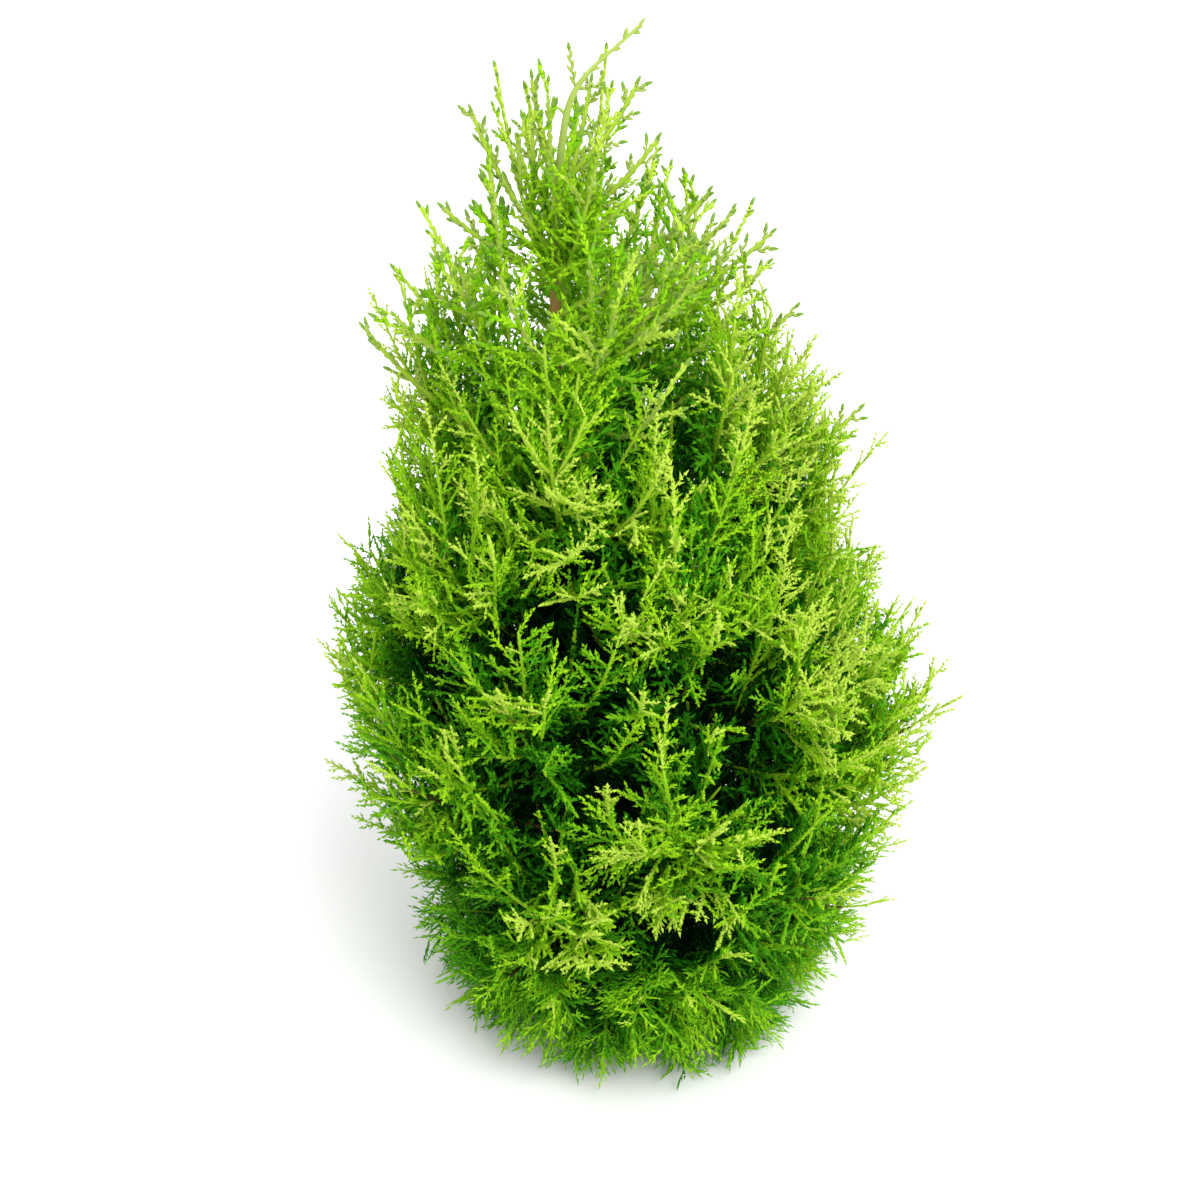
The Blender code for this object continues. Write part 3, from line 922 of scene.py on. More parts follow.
@dataclass
class Plume:
    """The growth on one limb: arms, their sprays and the limb's own sprays."""

    own: int
    limb: Limb
    route: Route
    space: Space
    zone: str
    draw: np.random.Generator
    sprays: list[Growth] = field(default_factory=list)
    arms: list[Route] = field(default_factory=list)
    stem_end: float = 0.0
    vigour_spread: float = 0.13
    arm_angles: tuple = (math.radians(26), math.radians(62))
    arm_reach: float = 0.088
    arm_share: float = 0.92
    arm_least: float = 0.003
    arm_range: tuple = (0.70, 1.10)
    arm_bend: float = 0.55
    arm_end: tuple = (0.85, 0.15)
    arm_samples: int = 9
    fewest_samples: int = 4
    arm_depth: float = 0.005
    arm_turn: float = 0.3
    gap_range: tuple = (0.85, 1.15)
    spray_angle: float = math.radians(46)
    angle_range: tuple = (0.75, 1.30)
    length_range: tuple = (0.85, 1.15)
    terminal: float = 0.030
    terminal_room: tuple = (0.9, 0.5)
    first_arm: float = 0.014
    open_first_arm: float = 0.022
    open_shortest: float = 0.006
    tip_stretch: float = 0.050
    stem_spare: float = 0.001
    arm_bare: float = 0.18
    arm_sides: tuple = (0.82, 1.18)
    arm_ends: tuple = (0.022, 0.030)
    arm_longest: float = 0.036
    arm_spare: float = 0.0005
    aside_from: float = 0.015
    end_inset: float = 0.5
    arm_overlap: float = 0.015
    overlap: float = 0.024
    shade_depth: float = 0.040
    insets: tuple = (0.003, 0.023)
    low_insets: tuple = (0.001, 0.013)
    proud: float = 0.005
    valley: float = 0.08
    # Painted light: how much lighter the tint is towards +X and the front, where the key light comes from.
    sunny: float = 0.75
    # Painted shade: how fast the tint darkens with depth inside the crown, starting at the depth set next.
    fade: float = 11.0
    shade_from: float = 0.008
    shade_range: tuple = (0.8, 1.2)
    inner_range: tuple = (0.7, 1.2)
    inner_left_out: float = 0.40
    # Painted shade: the most tint lightness of shaded sprays, over the height's least.
    shaded_light_cap: float = 0.28
    light_place: float = 0.1
    spray_sizes: tuple = (1.0, 0.84, 0.68, 0.54)
    spray_marks: tuple = (0.45, 0.75, 1.0)
    upward: float = 0.7
    outward_rise: float = 0.35
    flat_wander: float = 0.42
    # The upper crown's least tint lightness: partly its young growth, partly painted light from above.
    upper_youth_and_light: float = 0.58
    upper_from: float = 0.24
    upper_over: float = 0.11
    view_slope: float = math.tan(math.radians(30))
    front: float = -0.004
    seen_trunk: tuple = (0.274, 0.316)
    beside_trunk: float = 0.006
    hidden_share: float = 0.50
    inner_lean: float = 0.95
    inner_gap: float = 0.0018
    inner_stretch: tuple = (0.03, 0.85)
    inner_lengths: tuple = (0.022, 0.036)
    inner_depth: float = 0.030
    inner_height: float = 0.01
    inner_facing: float = 0.02
    inner_wander: float = 0.05
    # Painted shade: inner growth within this depth of the outline is painted less dark, by the gain below.
    dark_depth: float = 0.050
    pale_gain: float = 0.20

    def arm(self, place: float, turn: float) -> Route | None:
        """An arm that leaves the limb sideways and bends forward and up.

        Args:
            place: The length along the limb where it leaves.
            turn: Its direction round the limb, in radians.

        Returns:
            Its route, cut where it would leave the crown or the limb's own space, or None.
        """
        way = self.route.way(place)
        side = across(way, turn)
        behind = self.route.length - place
        reach = min(self.arm_reach, self.arm_share * behind + self.arm_least)
        reach = reach * self.draw.uniform(*self.arm_range)
        root = self.route.at(place)
        angle = self.draw.uniform(*self.arm_angles)
        ahead = way * math.cos(angle) + side * math.sin(angle)
        middle = root + ahead * (self.arm_bend * reach)
        end = root + ahead * (self.arm_end[0] * reach) + way * (self.arm_end[1] * reach)
        end[2] += self.limb.tier.arm_lift * reach
        path = bezier(root, middle, end, self.arm_samples)
        path[:, 2] = np.maximum(path[:, 2], CROWN.lowest)
        inside = CROWN.holds(path) & (CROWN.depth(path) > self.arm_depth)
        fine = inside & self.space.holds(self.own, path, self.arm_overlap)
        kept = len(fine) if fine.all() else int(np.argmin(fine))
        if kept < self.fewest_samples:
            return None
        return Route(path[:kept])

    def candidate(self, route: Route, place: float, side: Array, angle: float, length: float,
                  youth_and_light: float, inset: float = 0.0) -> bool:
        """Adds a spray where it has room, shorter where it must be.

        Args:
            route: The stem that it grows on.
            place: The length along the stem.
            side: The direction that it leans to.
            angle: Its angle from the stem.
            length: Its full length.
            youth_and_light: How light its tint is, from 0 to 1, for young growth and painted light; painted
                shade is taken off here.
            inset: How far it stays within the crown's outline.

        Returns:
            Whether there was room.
        """
        ahead = route.way(place)
        way = ahead * math.cos(angle) + side * math.sin(angle)
        way = unit(way + UP * (self.upward * self.limb.tier.arm_lift))
        root = route.at(place)
        way[2] = max(way[2], (CROWN.lowest - root[2]) / (0.9 * length))
        way = unit(way)
        out = np.array([root[0], root[1], self.outward_rise * math.hypot(root[0], root[1])])
        flat = unit(out) + self.flat_wander * self.draw.normal(size=3)
        flat = unit(flat - way * (flat @ way))
        tip = root + way * length
        deep = float(CROWN.depth(tip[None])[0])
        # Painted shade: the tint darkens with the tip's depth inside the crown, and patches of painted
        # light and shade lift or lower it.
        depth_shade = self.fade * max(0.0, deep - self.shade_from)
        youth_and_light += sum(painted_patch.at(tip) for painted_patch in LIGHT_AND_SHADE_PATCHES) - depth_shade
        # Painted light from the key's side: the tint is lighter towards +X and the front.
        youth_and_light += self.sunny * (tip[0] - 0.5 * tip[1])
        limit = self.shade_depth * self.draw.uniform(*self.shade_range)
        least = self.least_youth_and_light(tip[2])
        kind = self.limb.tier.kind
        # Painted shade: sprays deeper still take the darkest tints, and shaded ones are kept from the light
        # tints.
        if deep > 1.5 * limit:
            if self.draw.random() < self.inner_left_out:
                return False
            kind = Kind.SHADED if least > self.light_place else Kind.INNER
            youth_and_light = least * self.draw.uniform(*self.inner_range)
        elif deep > limit:
            kind = Kind.SHADED
            youth_and_light = min(self.shaded_light_cap + least, youth_and_light)
        youth_and_light = max(youth_and_light, least)
        for size in self.spray_sizes:
            reach = np.array(self.spray_marks)[:, None] * (length * size)
            points = root + way * reach
            if not CROWN.holds(points, inset).all():
                continue
            if kind is not Kind.INNER:
                if not self.space.holds(self.own, points, self.overlap).all():
                    continue
                if any(hollow.keeps_out(points).any() for hollow in HOLLOWS):
                    return False
                if self.before_trunk(points[1]):
                    return False
            self.sprays.append(Growth(kind, self.zone, root, way, flat, length * size, youth_and_light))
            return True
        return False

    def aside(self, arm: Route) -> float:
        """How far an arm's end lies from its limb."""
        return float(np.linalg.norm(self.route.points - arm.points[-1], axis=1).min())

    def least_youth_and_light(self, height: float) -> float:
        """The least tint lightness at this height: the upper crown is light all through, partly for its
        young growth and partly as painted light from above.
        """
        return self.upper_youth_and_light * min(1.0, max(0.0, (height - self.upper_from) / self.upper_over))

    def before_trunk(self, point: Array) -> bool:
        """Tells whether a spray is left out because it would hide the trunk that shows in front.

        Args:
            point: A point of the spray.

        Returns:
            Whether it is left out, which is drawn for those before the trunk.
        """
        seen = point[2] + point[1] * self.view_slope
        if point[1] > self.front or not self.seen_trunk[0] < seen < self.seen_trunk[1]:
            return False
        beside = abs(point[0] - float(smooth_value(TRUNK.axis, seen)))
        return beside < self.beside_trunk and self.draw.random() < self.hidden_share

    def grow(self) -> None:
        """Grows the plume."""
        tier = self.limb.tier
        route, draw = self.route, self.draw
        # The plume's tint lightness: its tier's, varied at random from plume to plume.
        plume_youth_and_light = tier.youth_and_light + draw.uniform(-self.vigour_spread, self.vigour_spread)
        within = route.reached[CROWN.depth(route.points) >= 0.0]
        spare, room = self.terminal_room
        stem_end = min(route.length - spare * self.terminal, within[-1] - room * self.terminal)
        turn = draw.uniform(0, math.tau)
        place = stem_end - (self.open_first_arm if tier.kind is Kind.OPEN else self.first_arm)
        start = tier.bare_share * route.length
        while place > start:
            turn += GOLDEN_ANGLE + draw.uniform(-self.arm_turn, self.arm_turn)
            arm = self.arm(place, turn)
            if arm:
                self.dress_arm(arm, plume_youth_and_light)
            place -= tier.arm_gap * draw.uniform(*self.gap_range)
        self.dress_tip(stem_end, plume_youth_and_light)
        self.fill_inside()

    def fill_inside(self) -> None:
        """Sets old growth along the limb's inner stretch, well under the crown's surface."""
        draw = self.draw
        turn = draw.uniform(0, math.tau)
        place = self.inner_stretch[0] * self.route.length
        while place < self.inner_stretch[1] * self.route.length:
            turn += GOLDEN_ANGLE
            place += self.inner_gap
            way = self.route.way(place)
            side = across(way, turn)
            out = unit(way * math.cos(self.inner_lean) + side * math.sin(self.inner_lean))
            root = self.route.at(place)
            length = draw.uniform(*self.inner_lengths)
            tip = root + out * length
            deep = float(CROWN.depth(tip[None])[0])
            if deep < self.inner_depth or tip[2] < self.inner_height:
                continue
            outward = np.array([tip[0], tip[1], self.inner_facing])
            outward = outward + self.inner_wander * draw.normal(size=3)
            flat = unit(outward - out * (outward @ out))
            # Painted shade: inner growth takes dark tints, less dark near the outline and lighter in the
            # upper crown.
            least = self.least_youth_and_light(tip[2])
            pale = deep < self.dark_depth
            kind = Kind.SHADED if pale or least > self.light_place else Kind.INNER
            young_and_lit = least + (self.pale_gain if pale else 0.0)
            self.sprays.append(Growth(kind, self.zone, root, out, flat, length, young_and_lit))

    def dress_tip(self, stem_end: float, plume_youth_and_light: float) -> None:
        """Sets sprays along the limb's outer stretch, and one at its end.

        Args:
            stem_end: The length along the limb where its stem ends.
            plume_youth_and_light: How light the plume's tint is, partly for young growth and partly as
                painted light.
        """
        draw, rule = self.draw, TIP_DRESSING
        side = across(self.route.way(stem_end))
        young_and_lit = plume_youth_and_light + rule.end_gain
        grown = []
        if self.candidate(self.route, stem_end, side, rule.end_angle, self.terminal, young_and_lit, -self.proud):
            grown.append(stem_end)
        place = stem_end - rule.first
        turn = draw.uniform(0, math.tau)
        shortest = self.open_shortest if self.limb.tier.kind is Kind.OPEN else rule.shortest
        while place > stem_end - self.tip_stretch:
            turn += GOLDEN_ANGLE
            behind = stem_end - place
            side = across(self.route.way(place), turn)
            length = (shortest + rule.growth * behind) * draw.uniform(*self.length_range)
            # Lighter towards the stem's end: young growth and painted light.
            young_and_lit = plume_youth_and_light + rule.gain - rule.fade * behind + draw.uniform(-rule.vary, rule.vary)
            if self.candidate(self.route, place, side, self.spray_angle, length, young_and_lit, -self.proud):
                grown.append(place)
            place -= self.limb.tier.spray_gap
        self.stem_end = max(grown, default=stem_end - self.tip_stretch) + self.stem_spare

    def dress_arm(self, arm: Route, plume_youth_and_light: float) -> None:
        """Sets sprays along an arm, alternately to its two sides, and one at its end.

        Args:
            arm: The arm.
            plume_youth_and_light: How light the plume's tint is, partly for young growth and partly as
                painted light.
        """
        draw, rule = self.draw, ARM_DRESSING
        side = across(arm.way(arm.length))
        insets = self.low_insets if self.limb.tier.kind is Kind.FINE else self.insets
        inset = draw.uniform(*insets) + self.valley * max(0.0, self.aside(arm) - self.aside_from)
        length = draw.uniform(*self.arm_ends)
        young_and_lit = plume_youth_and_light + rule.end_gain
        grown = []
        if self.candidate(arm, arm.length, side, rule.end_angle, length, young_and_lit, self.end_inset * inset):
            grown.append(arm.length)
        turn = draw.uniform(0, math.tau)
        place = arm.length - rule.first
        while place > self.arm_bare * arm.length:
            turn += math.pi * draw.uniform(*self.arm_sides)
            behind = arm.length - place
            side = across(arm.way(place), turn)
            length = min(self.arm_longest, rule.shortest + rule.growth * behind)
            length = length * draw.uniform(*self.length_range)
            # Lighter towards the stem's end: young growth and painted light.
            young_and_lit = plume_youth_and_light + rule.gain - rule.fade * behind + draw.uniform(-rule.vary, rule.vary)
            angle = self.spray_angle * draw.uniform(*self.angle_range)
            if self.candidate(arm, place, side, angle, length, young_and_lit, inset):
                grown.append(place)
            place -= self.limb.tier.spray_gap * draw.uniform(*self.gap_range)
        if grown:
            end = min(max(grown) + self.arm_spare, arm.length)
            self.arms.append(arm.cut(0, end, self.arm_samples))


@dataclass(frozen=True)
class PlainFinish:
    """One plain colour, with the shared fine relief in its shine and bump."""

    name: str
    colour: tuple
    roughness: float = 0.85
    shine: float = 0.5
    relief: float = 0.05
    relief_scale: float = 60.0
    relief_stretch: float = 1.0
    relief_depth: float = 0.0002

    def material(self) -> bpy.types.Material:
        """Makes the material.

        Returns:
            The material.
        """
        made, surface, nodes, links = new_material(self.name)
        surface.inputs["Base Color"].default_value = (*self.colour, 1.0)
        surface.inputs["Specular IOR Level"].default_value = self.shine
        relief = place_relief(nodes, self.relief_scale, self.relief_stretch)
        link_relief(nodes, links, surface, relief, self.roughness, self.relief, self.relief_depth)
        return made


@dataclass(frozen=True)
class LeafFinish(PlainFinish):
    """Scale leaves: a plain green with a soft shine and the fine relief of overlapping scales."""

    roughness: float = 0.52
    shine: float = 0.04
    relief: float = 0.25
    relief_scale: float = 900.0


@dataclass(frozen=True)
class StemFinish(PlainFinish):
    """Young green or brown shoots."""

    roughness: float = 0.6
    shine: float = 0.12
    relief: float = 0.3
    relief_scale: float = 700.0
    relief_stretch: float = 0.4


@dataclass(frozen=True)
class FloorFinish(PlainFinish):
    """A plain pale floor."""

    name: str = "pale floor"
    colour: tuple = (0.90, 0.90, 0.90)


@dataclass(frozen=True)
class BarkFinish:
    """Thin fibrous bark: red-brown ridges over darker furrows, greener towards the top."""

    name: str
    ridge: tuple = (0.600, 0.230, 0.070)
    furrow: tuple = (0.120, 0.046, 0.020)
    young: tuple = (0.370, 0.490, 0.095)
    green_from: float = 0.335
    green_to: float = 0.375
    roughness: float = 0.85
    relief: float = 0.6
    relief_scale: float = 420.0
    relief_stretch: float = 0.12
    relief_depth: float = 0.0004
    furrow_place: float = 0.30
    ridge_place: float = 0.72

    def material(self) -> bpy.types.Material:
        """Makes the material.

        Returns:
            The material.
        """
        made, surface, nodes, links = new_material(self.name)
        relief = place_relief(nodes, self.relief_scale, self.relief_stretch)
        link_relief(nodes, links, surface, relief, self.roughness, self.relief, self.relief_depth)
        ramp = nodes.new("ShaderNodeValToRGB")
        ramp.color_ramp.elements[0].position = self.furrow_place
        ramp.color_ramp.elements[0].color = (*self.furrow, 1.0)
        ramp.color_ramp.elements[1].position = self.ridge_place
        ramp.color_ramp.elements[1].color = (*self.ridge, 1.0)
        links.new(relief.outputs["Height"], ramp.inputs["Fac"])
        place = nodes.new("ShaderNodeTexCoord")
        split = nodes.new("ShaderNodeSeparateXYZ")
        links.new(place.outputs["Object"], split.inputs["Vector"])
        rise = nodes.new("ShaderNodeMapRange")
        rise.inputs["From Min"].default_value = self.green_from
        rise.inputs["From Max"].default_value = self.green_to
        links.new(split.outputs["Z"], rise.inputs["Value"])
        blend = nodes.new("ShaderNodeMix")
        blend.data_type = "RGBA"
        links.new(rise.outputs["Result"], blend.inputs["Factor"])
        links.new(ramp.outputs["Color"], blend.inputs["A"])
        blend.inputs["B"].default_value = (*self.young, 1.0)
        links.new(blend.outputs["Result"], surface.inputs["Base Color"])
        return made


def new_material(name: str) -> tuple:
    """Starts a material.

    Args:
        name: Its name.

    Returns:
        The material, its Principled BSDF, its nodes and its links.
    """
    made = bpy.data.materials.new(name)
    made.use_nodes = True
    nodes, links = made.node_tree.nodes, made.node_tree.links
    return made, nodes["Principled BSDF"], nodes, links


def relief_group() -> bpy.types.NodeTree:
    """The fine relief that leaves, shoots, bark and floor share, built once.

    Returns:
        A group with the inputs Scale and Stretch, and the outputs Height and Shade.
    """
    found = bpy.data.node_groups.get("fine relief")
    if found:
        return found
    group = bpy.data.node_groups.new("fine relief", "ShaderNodeTree")
    for name, value in (("Scale", 500.0), ("Stretch", 1.0)):
        socket = group.interface.new_socket(name, in_out="INPUT", socket_type="NodeSocketFloat")
        socket.default_value = value
    for name in ("Height", "Shade"):
        group.interface.new_socket(name, in_out="OUTPUT", socket_type="NodeSocketFloat")
    nodes, links = group.nodes, group.links
    entry, leave = nodes.new("NodeGroupInput"), nodes.new("NodeGroupOutput")
    place = nodes.new("ShaderNodeTexCoord")
    axes = nodes.new("ShaderNodeCombineXYZ")
    axes.inputs["X"].default_value = 1.0
    axes.inputs["Y"].default_value = 1.0
    links.new(entry.outputs["Stretch"], axes.inputs["Z"])
    squeeze = nodes.new("ShaderNodeVectorMath")
    squeeze.operation = "MULTIPLY"
    links.new(place.outputs["Object"], squeeze.inputs[0])
    links.new(axes.outputs["Vector"], squeeze.inputs[1])
    noise = nodes.new("ShaderNodeTexNoise")
    noise.inputs["Detail"].default_value = 3.0
    links.new(squeeze.outputs["Vector"], noise.inputs["Vector"])
    links.new(entry.outputs["Scale"], noise.inputs["Scale"])
    spread = nodes.new("ShaderNodeMapRange")
    spread.inputs["To Min"].default_value = 0.85
    spread.inputs["To Max"].default_value = 1.15
    links.new(noise.outputs["Fac"], spread.inputs["Value"])
    links.new(noise.outputs["Fac"], leave.inputs["Height"])
    links.new(spread.outputs["Result"], leave.inputs["Shade"])
    return group


def place_relief(nodes: bpy.types.Nodes, scale: float, stretch: float) -> bpy.types.Node:
    """Puts the shared relief group into a material.

    Args:
        nodes: The material's nodes.
        scale: How fine the relief is.
        stretch: How much it is drawn out along the height, under 1 for long fibres.

    Returns:
        The group's node.
    """
    relief = nodes.new("ShaderNodeGroup")
    relief.node_tree = relief_group()
    relief.inputs["Scale"].default_value = scale
    relief.inputs["Stretch"].default_value = stretch
    return relief


def link_relief(
    nodes: bpy.types.Nodes, links: bpy.types.NodeLinks, surface: bpy.types.Node,
    relief: bpy.types.Node, roughness: float, strength: float, distance: float,
) -> None:
    """Lets the relief drive a surface's roughness and bump.

    Args:
        nodes: The material's nodes.
        links: The material's links.
        surface: The Principled BSDF.
        relief: The relief group's node.
        roughness: The middle value of the roughness.
        strength: The bump's strength.
        distance: The bump's depth in metres.
    """
    rough = nodes.new("ShaderNodeMath")
    rough.operation = "MULTIPLY"
    rough.inputs[1].default_value = roughness
    links.new(relief.outputs["Shade"], rough.inputs[0])
    links.new(rough.outputs["Value"], surface.inputs["Roughness"])
    bump = nodes.new("ShaderNodeBump")
    bump.inputs["Strength"].default_value = strength
    bump.inputs["Distance"].default_value = distance
    links.new(relief.outputs["Height"], bump.inputs["Height"])
    links.new(bump.outputs["Normal"], surface.inputs["Normal"])


def settle(piece: bpy.types.Object, material: bpy.types.Material, nodes: list) -> None:
    """Dresses a piece and ties it to the frame.

    Args:
        piece: The piece.
        material: Its finish.
        nodes: The solids that it stands for.
    """
    piece.data.materials.append(material)
    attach(piece, BODY)
    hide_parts(*nodes)
    log.info("%s: %d triangles", piece.name, len(piece.data.polygons))


@dataclass
class Trunk:
    """The trunk with its flare and the ridges of its bark."""

    sides: int = 40
    rings: int = 220
    flare_lobes: int = 5
    flare_depth: float = 0.16
    flare_height: float = 0.022
    ridges: tuple = ((13, 0.5), (7, 0.3), (19, 0.2))
    ridge_depth: float = 0.07
    least_ridge: float = 0.15
    bark_height: float = 0.42
    wander: float = 1.4
    wander_waves: tuple = (40, 90)
    break_waves: tuple = (150, 260)

    def swell(self, angles: Array, heights: Array, draw: np.random.Generator) -> Array:
        """Works out the bark's relief.

        Args:
            angles: The angle of each point round the trunk, in radians.
            heights: The height of each point.
            draw: The seeded random numbers.

        Returns:
            How much each point stands out, as a share of the trunk's radius there.
        """
        fade = np.clip(1 - heights / self.flare_height, 0, None)
        flare = self.flare_depth * fade * np.cos(self.flare_lobes * angles)
        ridges = np.zeros(np.broadcast(angles, heights).shape)
        for count, share in self.ridges:
            phase = draw.uniform(0, math.tau)
            wander = self.wander * np.sin(heights * draw.uniform(*self.wander_waves) + phase)
            waves = draw.uniform(*self.break_waves)
            broken = 0.6 + 0.4 * np.sin(heights * waves + 3 * angles + phase)
            ridges += share * broken * np.sin(count * angles + wander + phase)
        young = np.clip(1 - heights / self.bark_height, self.least_ridge, 1)
        return 1 + flare + self.ridge_depth * young * ridges

    def build(self) -> None:
        """Builds and dresses the trunk."""
        draw = seeded(Stream.TRUNK)
        heights = np.linspace(0, CROWN.height, self.rings)
        centres = TRUNK.point(heights)
        radii = smooth_value(TRUNK.radius, heights)
        ways = unit(np.gradient(centres, axis=0))
        side = np.cross(ways, np.array([0.0, 1.0, 0.0]))
        other = np.cross(ways, side)
        angles = math.tau * np.arange(self.sides) / self.sides
        swell = self.swell(angles[None], heights[:, None], draw) * radii[:, None]
        spread = np.cos(angles)[None, :, None] * side[:, None]
        spread = spread + np.sin(angles)[None, :, None] * other[:, None]
        rings = centres[:, None] + spread * swell[:, :, None]
        rings[0, :, 2] = 0.0
        vertices = np.vstack([[centres[0]], rings.reshape(-1, 3), [centres[-1]]])
        shape = Shape()
        shape.add((vertices, rod_faces(self.sides, self.rings)[:, ::-1]))
        settle(shape.build("trunk_bark"), BarkFinish("trunk bark").material(), ["trunk"])


@dataclass
class Boughs:
    """The boughs that carry the belly and waist plumes."""

    sides: int = 12
    rings: int = 26
    root_radius: float = 0.0027
    tip_radius: float = 0.0017
    uneven: tuple = (0.92, 1.08)
    start: float = 0.003
    overlap: float = 0.04

    def build(self, limbs: list[Limb], routes: list[Route]) -> None:
        """Builds and dresses every bough, joined into one piece.

        Args:
            limbs: The limbs of the tree.
            routes: Their paths.
        """
        shape = Shape()
        names = []
        draw = seeded(Stream.BOUGHS)
        for limb, route in zip(limbs, routes):
            share = limb.tier.bough_share
            if not share:
                continue
            names.append(f"bough_{limb.tier.name}_{limb.index + 1}")
            end = (share + self.overlap) * route.length
            path = route.cut(self.start, end, self.rings + 2).points
            radii = np.linspace(self.root_radius, self.tip_radius, self.rings)
            radii = radii * draw.uniform(*self.uneven, self.rings)
            shape.add(rod(path, radii, self.sides, draw.uniform(0, math.tau)))
        finish = BarkFinish("bough bark", young=(0.20, 0.24, 0.06), green_from=0.05, green_to=0.22)
        settle(shape.build("boughs_bark"), finish.material(), names)


@dataclass(frozen=True)
class TopShoot:
    """A slim open shoot that stands free at the top: where it leaves the trunk, and its tip."""

    root_height: float
    x: float
    y: float
    z: float


@dataclass
class Crest:
    """The leader's fork and buds, and the free shoots round it."""

    buds: tuple = ((0.4275, 98, 0.0145), (0.4275, 14, 0.0090), (0.4345, 20, 0.0026),
                   (0.4385, 75, 0.0024), (0.4425, 10, 0.0026), (0.4465, 80, 0.0030),
                   (0.4490, 5, 0.0030), (0.4500, 48, 0.0042), (0.4180, 140, 0.0024),
                   (0.4080, 35, 0.0026), (0.3985, 150, 0.0030), (0.3900, 30, 0.0040))
    shoots: tuple = (TopShoot(0.362, -0.057, -0.006, 0.422), TopShoot(0.386, -0.034, -0.002, 0.434),
                     TopShoot(0.390, 0.006, -0.004, 0.432), TopShoot(0.352, -0.071, 0.004, 0.381),
                     TopShoot(0.330, 0.043, -0.012, 0.384), TopShoot(0.318, 0.060, 0.006, 0.370),
                     TopShoot(0.376, -0.012, 0.030, 0.424), TopShoot(0.366, -0.040, 0.036, 0.408),
                     TopShoot(0.336, 0.034, -0.006, 0.391), TopShoot(0.270, 0.070, -0.002, 0.342),
                     TopShoot(0.262, -0.104, -0.004, 0.334), TopShoot(0.300, -0.020, 0.074, 0.372),
                     TopShoot(0.290, 0.030, 0.066, 0.362), TopShoot(0.372, 0.014, -0.004, 0.411),
                     TopShoot(0.215, 0.0985, -0.002, 0.298))
    budded_from: float = 0.005
    stem_radii: tuple = (0.00125, 0.00085)
    samples: int = 14
    knee: tuple = (0.35, 0.65)
    knee_rise: float = 0.42
    gap: float = 0.0058
    gap_range: tuple = (0.85, 1.2)
    bare: float = 0.22
    turn_range: tuple = (0.75, 1.25)
    longest: float = 0.0105
    shortest: float = 0.0042
    growth: float = 0.26
    length_range: tuple = (0.75, 1.15)

    def grow(self, stems: Shape, leaves: Shape, ends: Shape) -> None:
        """Grows the buds and the shoots.

        Args:
            stems: What the shoots' stems are added to.
            leaves: What their branchlets are added to.
            ends: What their swollen ends are added to.
        """
        maker = SprayMaker()
        form = FORMS[Kind.OPEN]
        draw = seeded(Stream.CREST)
        flat = np.array([0.0, -1.0, 0.0])
        for height, angle, length in self.buds:
            turn = math.radians(angle)
            way = np.array([math.cos(turn), 0.0, math.sin(turn)])
            foot = TRUNK.point(height)
            maker.branchlet(leaves, form, foot, way, way, flat, length, draw)
            if length > self.budded_from:
                maker.bud(ends, foot + way * (length * (1 + maker.forward)), way, draw)
        for shoot in self.shoots:
            self.shoot(maker, shoot, stems, leaves, ends, draw)

    def shoot(self, maker: SprayMaker, shoot: TopShoot, stems: Shape, leaves: Shape, ends: Shape,
              draw: np.random.Generator) -> None:
        """Grows one free shoot: a bent stem with short branchlets to its two sides in turn.

        Args:
            maker: What makes the branchlets.
            shoot: The shoot's places.
            stems: What the stem is added to.
            leaves: What the branchlets are added to.
            ends: What their swollen ends are added to.
            draw: The seeded random numbers.
        """
        form = FORMS[Kind.OPEN]
        root = TRUNK.point(shoot.root_height)
        tip = np.array([shoot.x, shoot.y, shoot.z])
        middle = root * self.knee[0] + tip * self.knee[1]
        middle[2] = root[2] + self.knee_rise * (tip[2] - root[2])
        route = Route(bezier(root, middle, tip, self.samples))
        turn = draw.uniform(0, math.tau)
        stems.add(tube(route.points, np.linspace(*self.stem_radii, self.samples - 1), 5, turn))
        maker.set_scales(leaves, form, route, self.bare * route.length, across(route.way(0)), draw)
        place = self.bare * route.length
        while place < route.length - 0.003:
            way = route.way(place)
            turn += math.pi * draw.uniform(*self.turn_range)
            side = across(way, turn)
            ahead = unit(way * math.cos(form.angle) + side * math.sin(form.angle))
            behind = route.length - place
            length = min(self.longest, self.shortest + self.growth * behind)
            length = length * draw.uniform(*self.length_range)
            foot = route.at(place)
            flat = unit(np.cross(ahead, way))
            maker.branchlet(leaves, form, foot, ahead, way, flat, length, draw)
            maker.bud(ends, foot + ahead * length + way * (maker.forward * length), ahead, draw)
            place += self.gap * draw.uniform(*self.gap_range)
        maker.bud(ends, tip, route.way(route.length), draw)


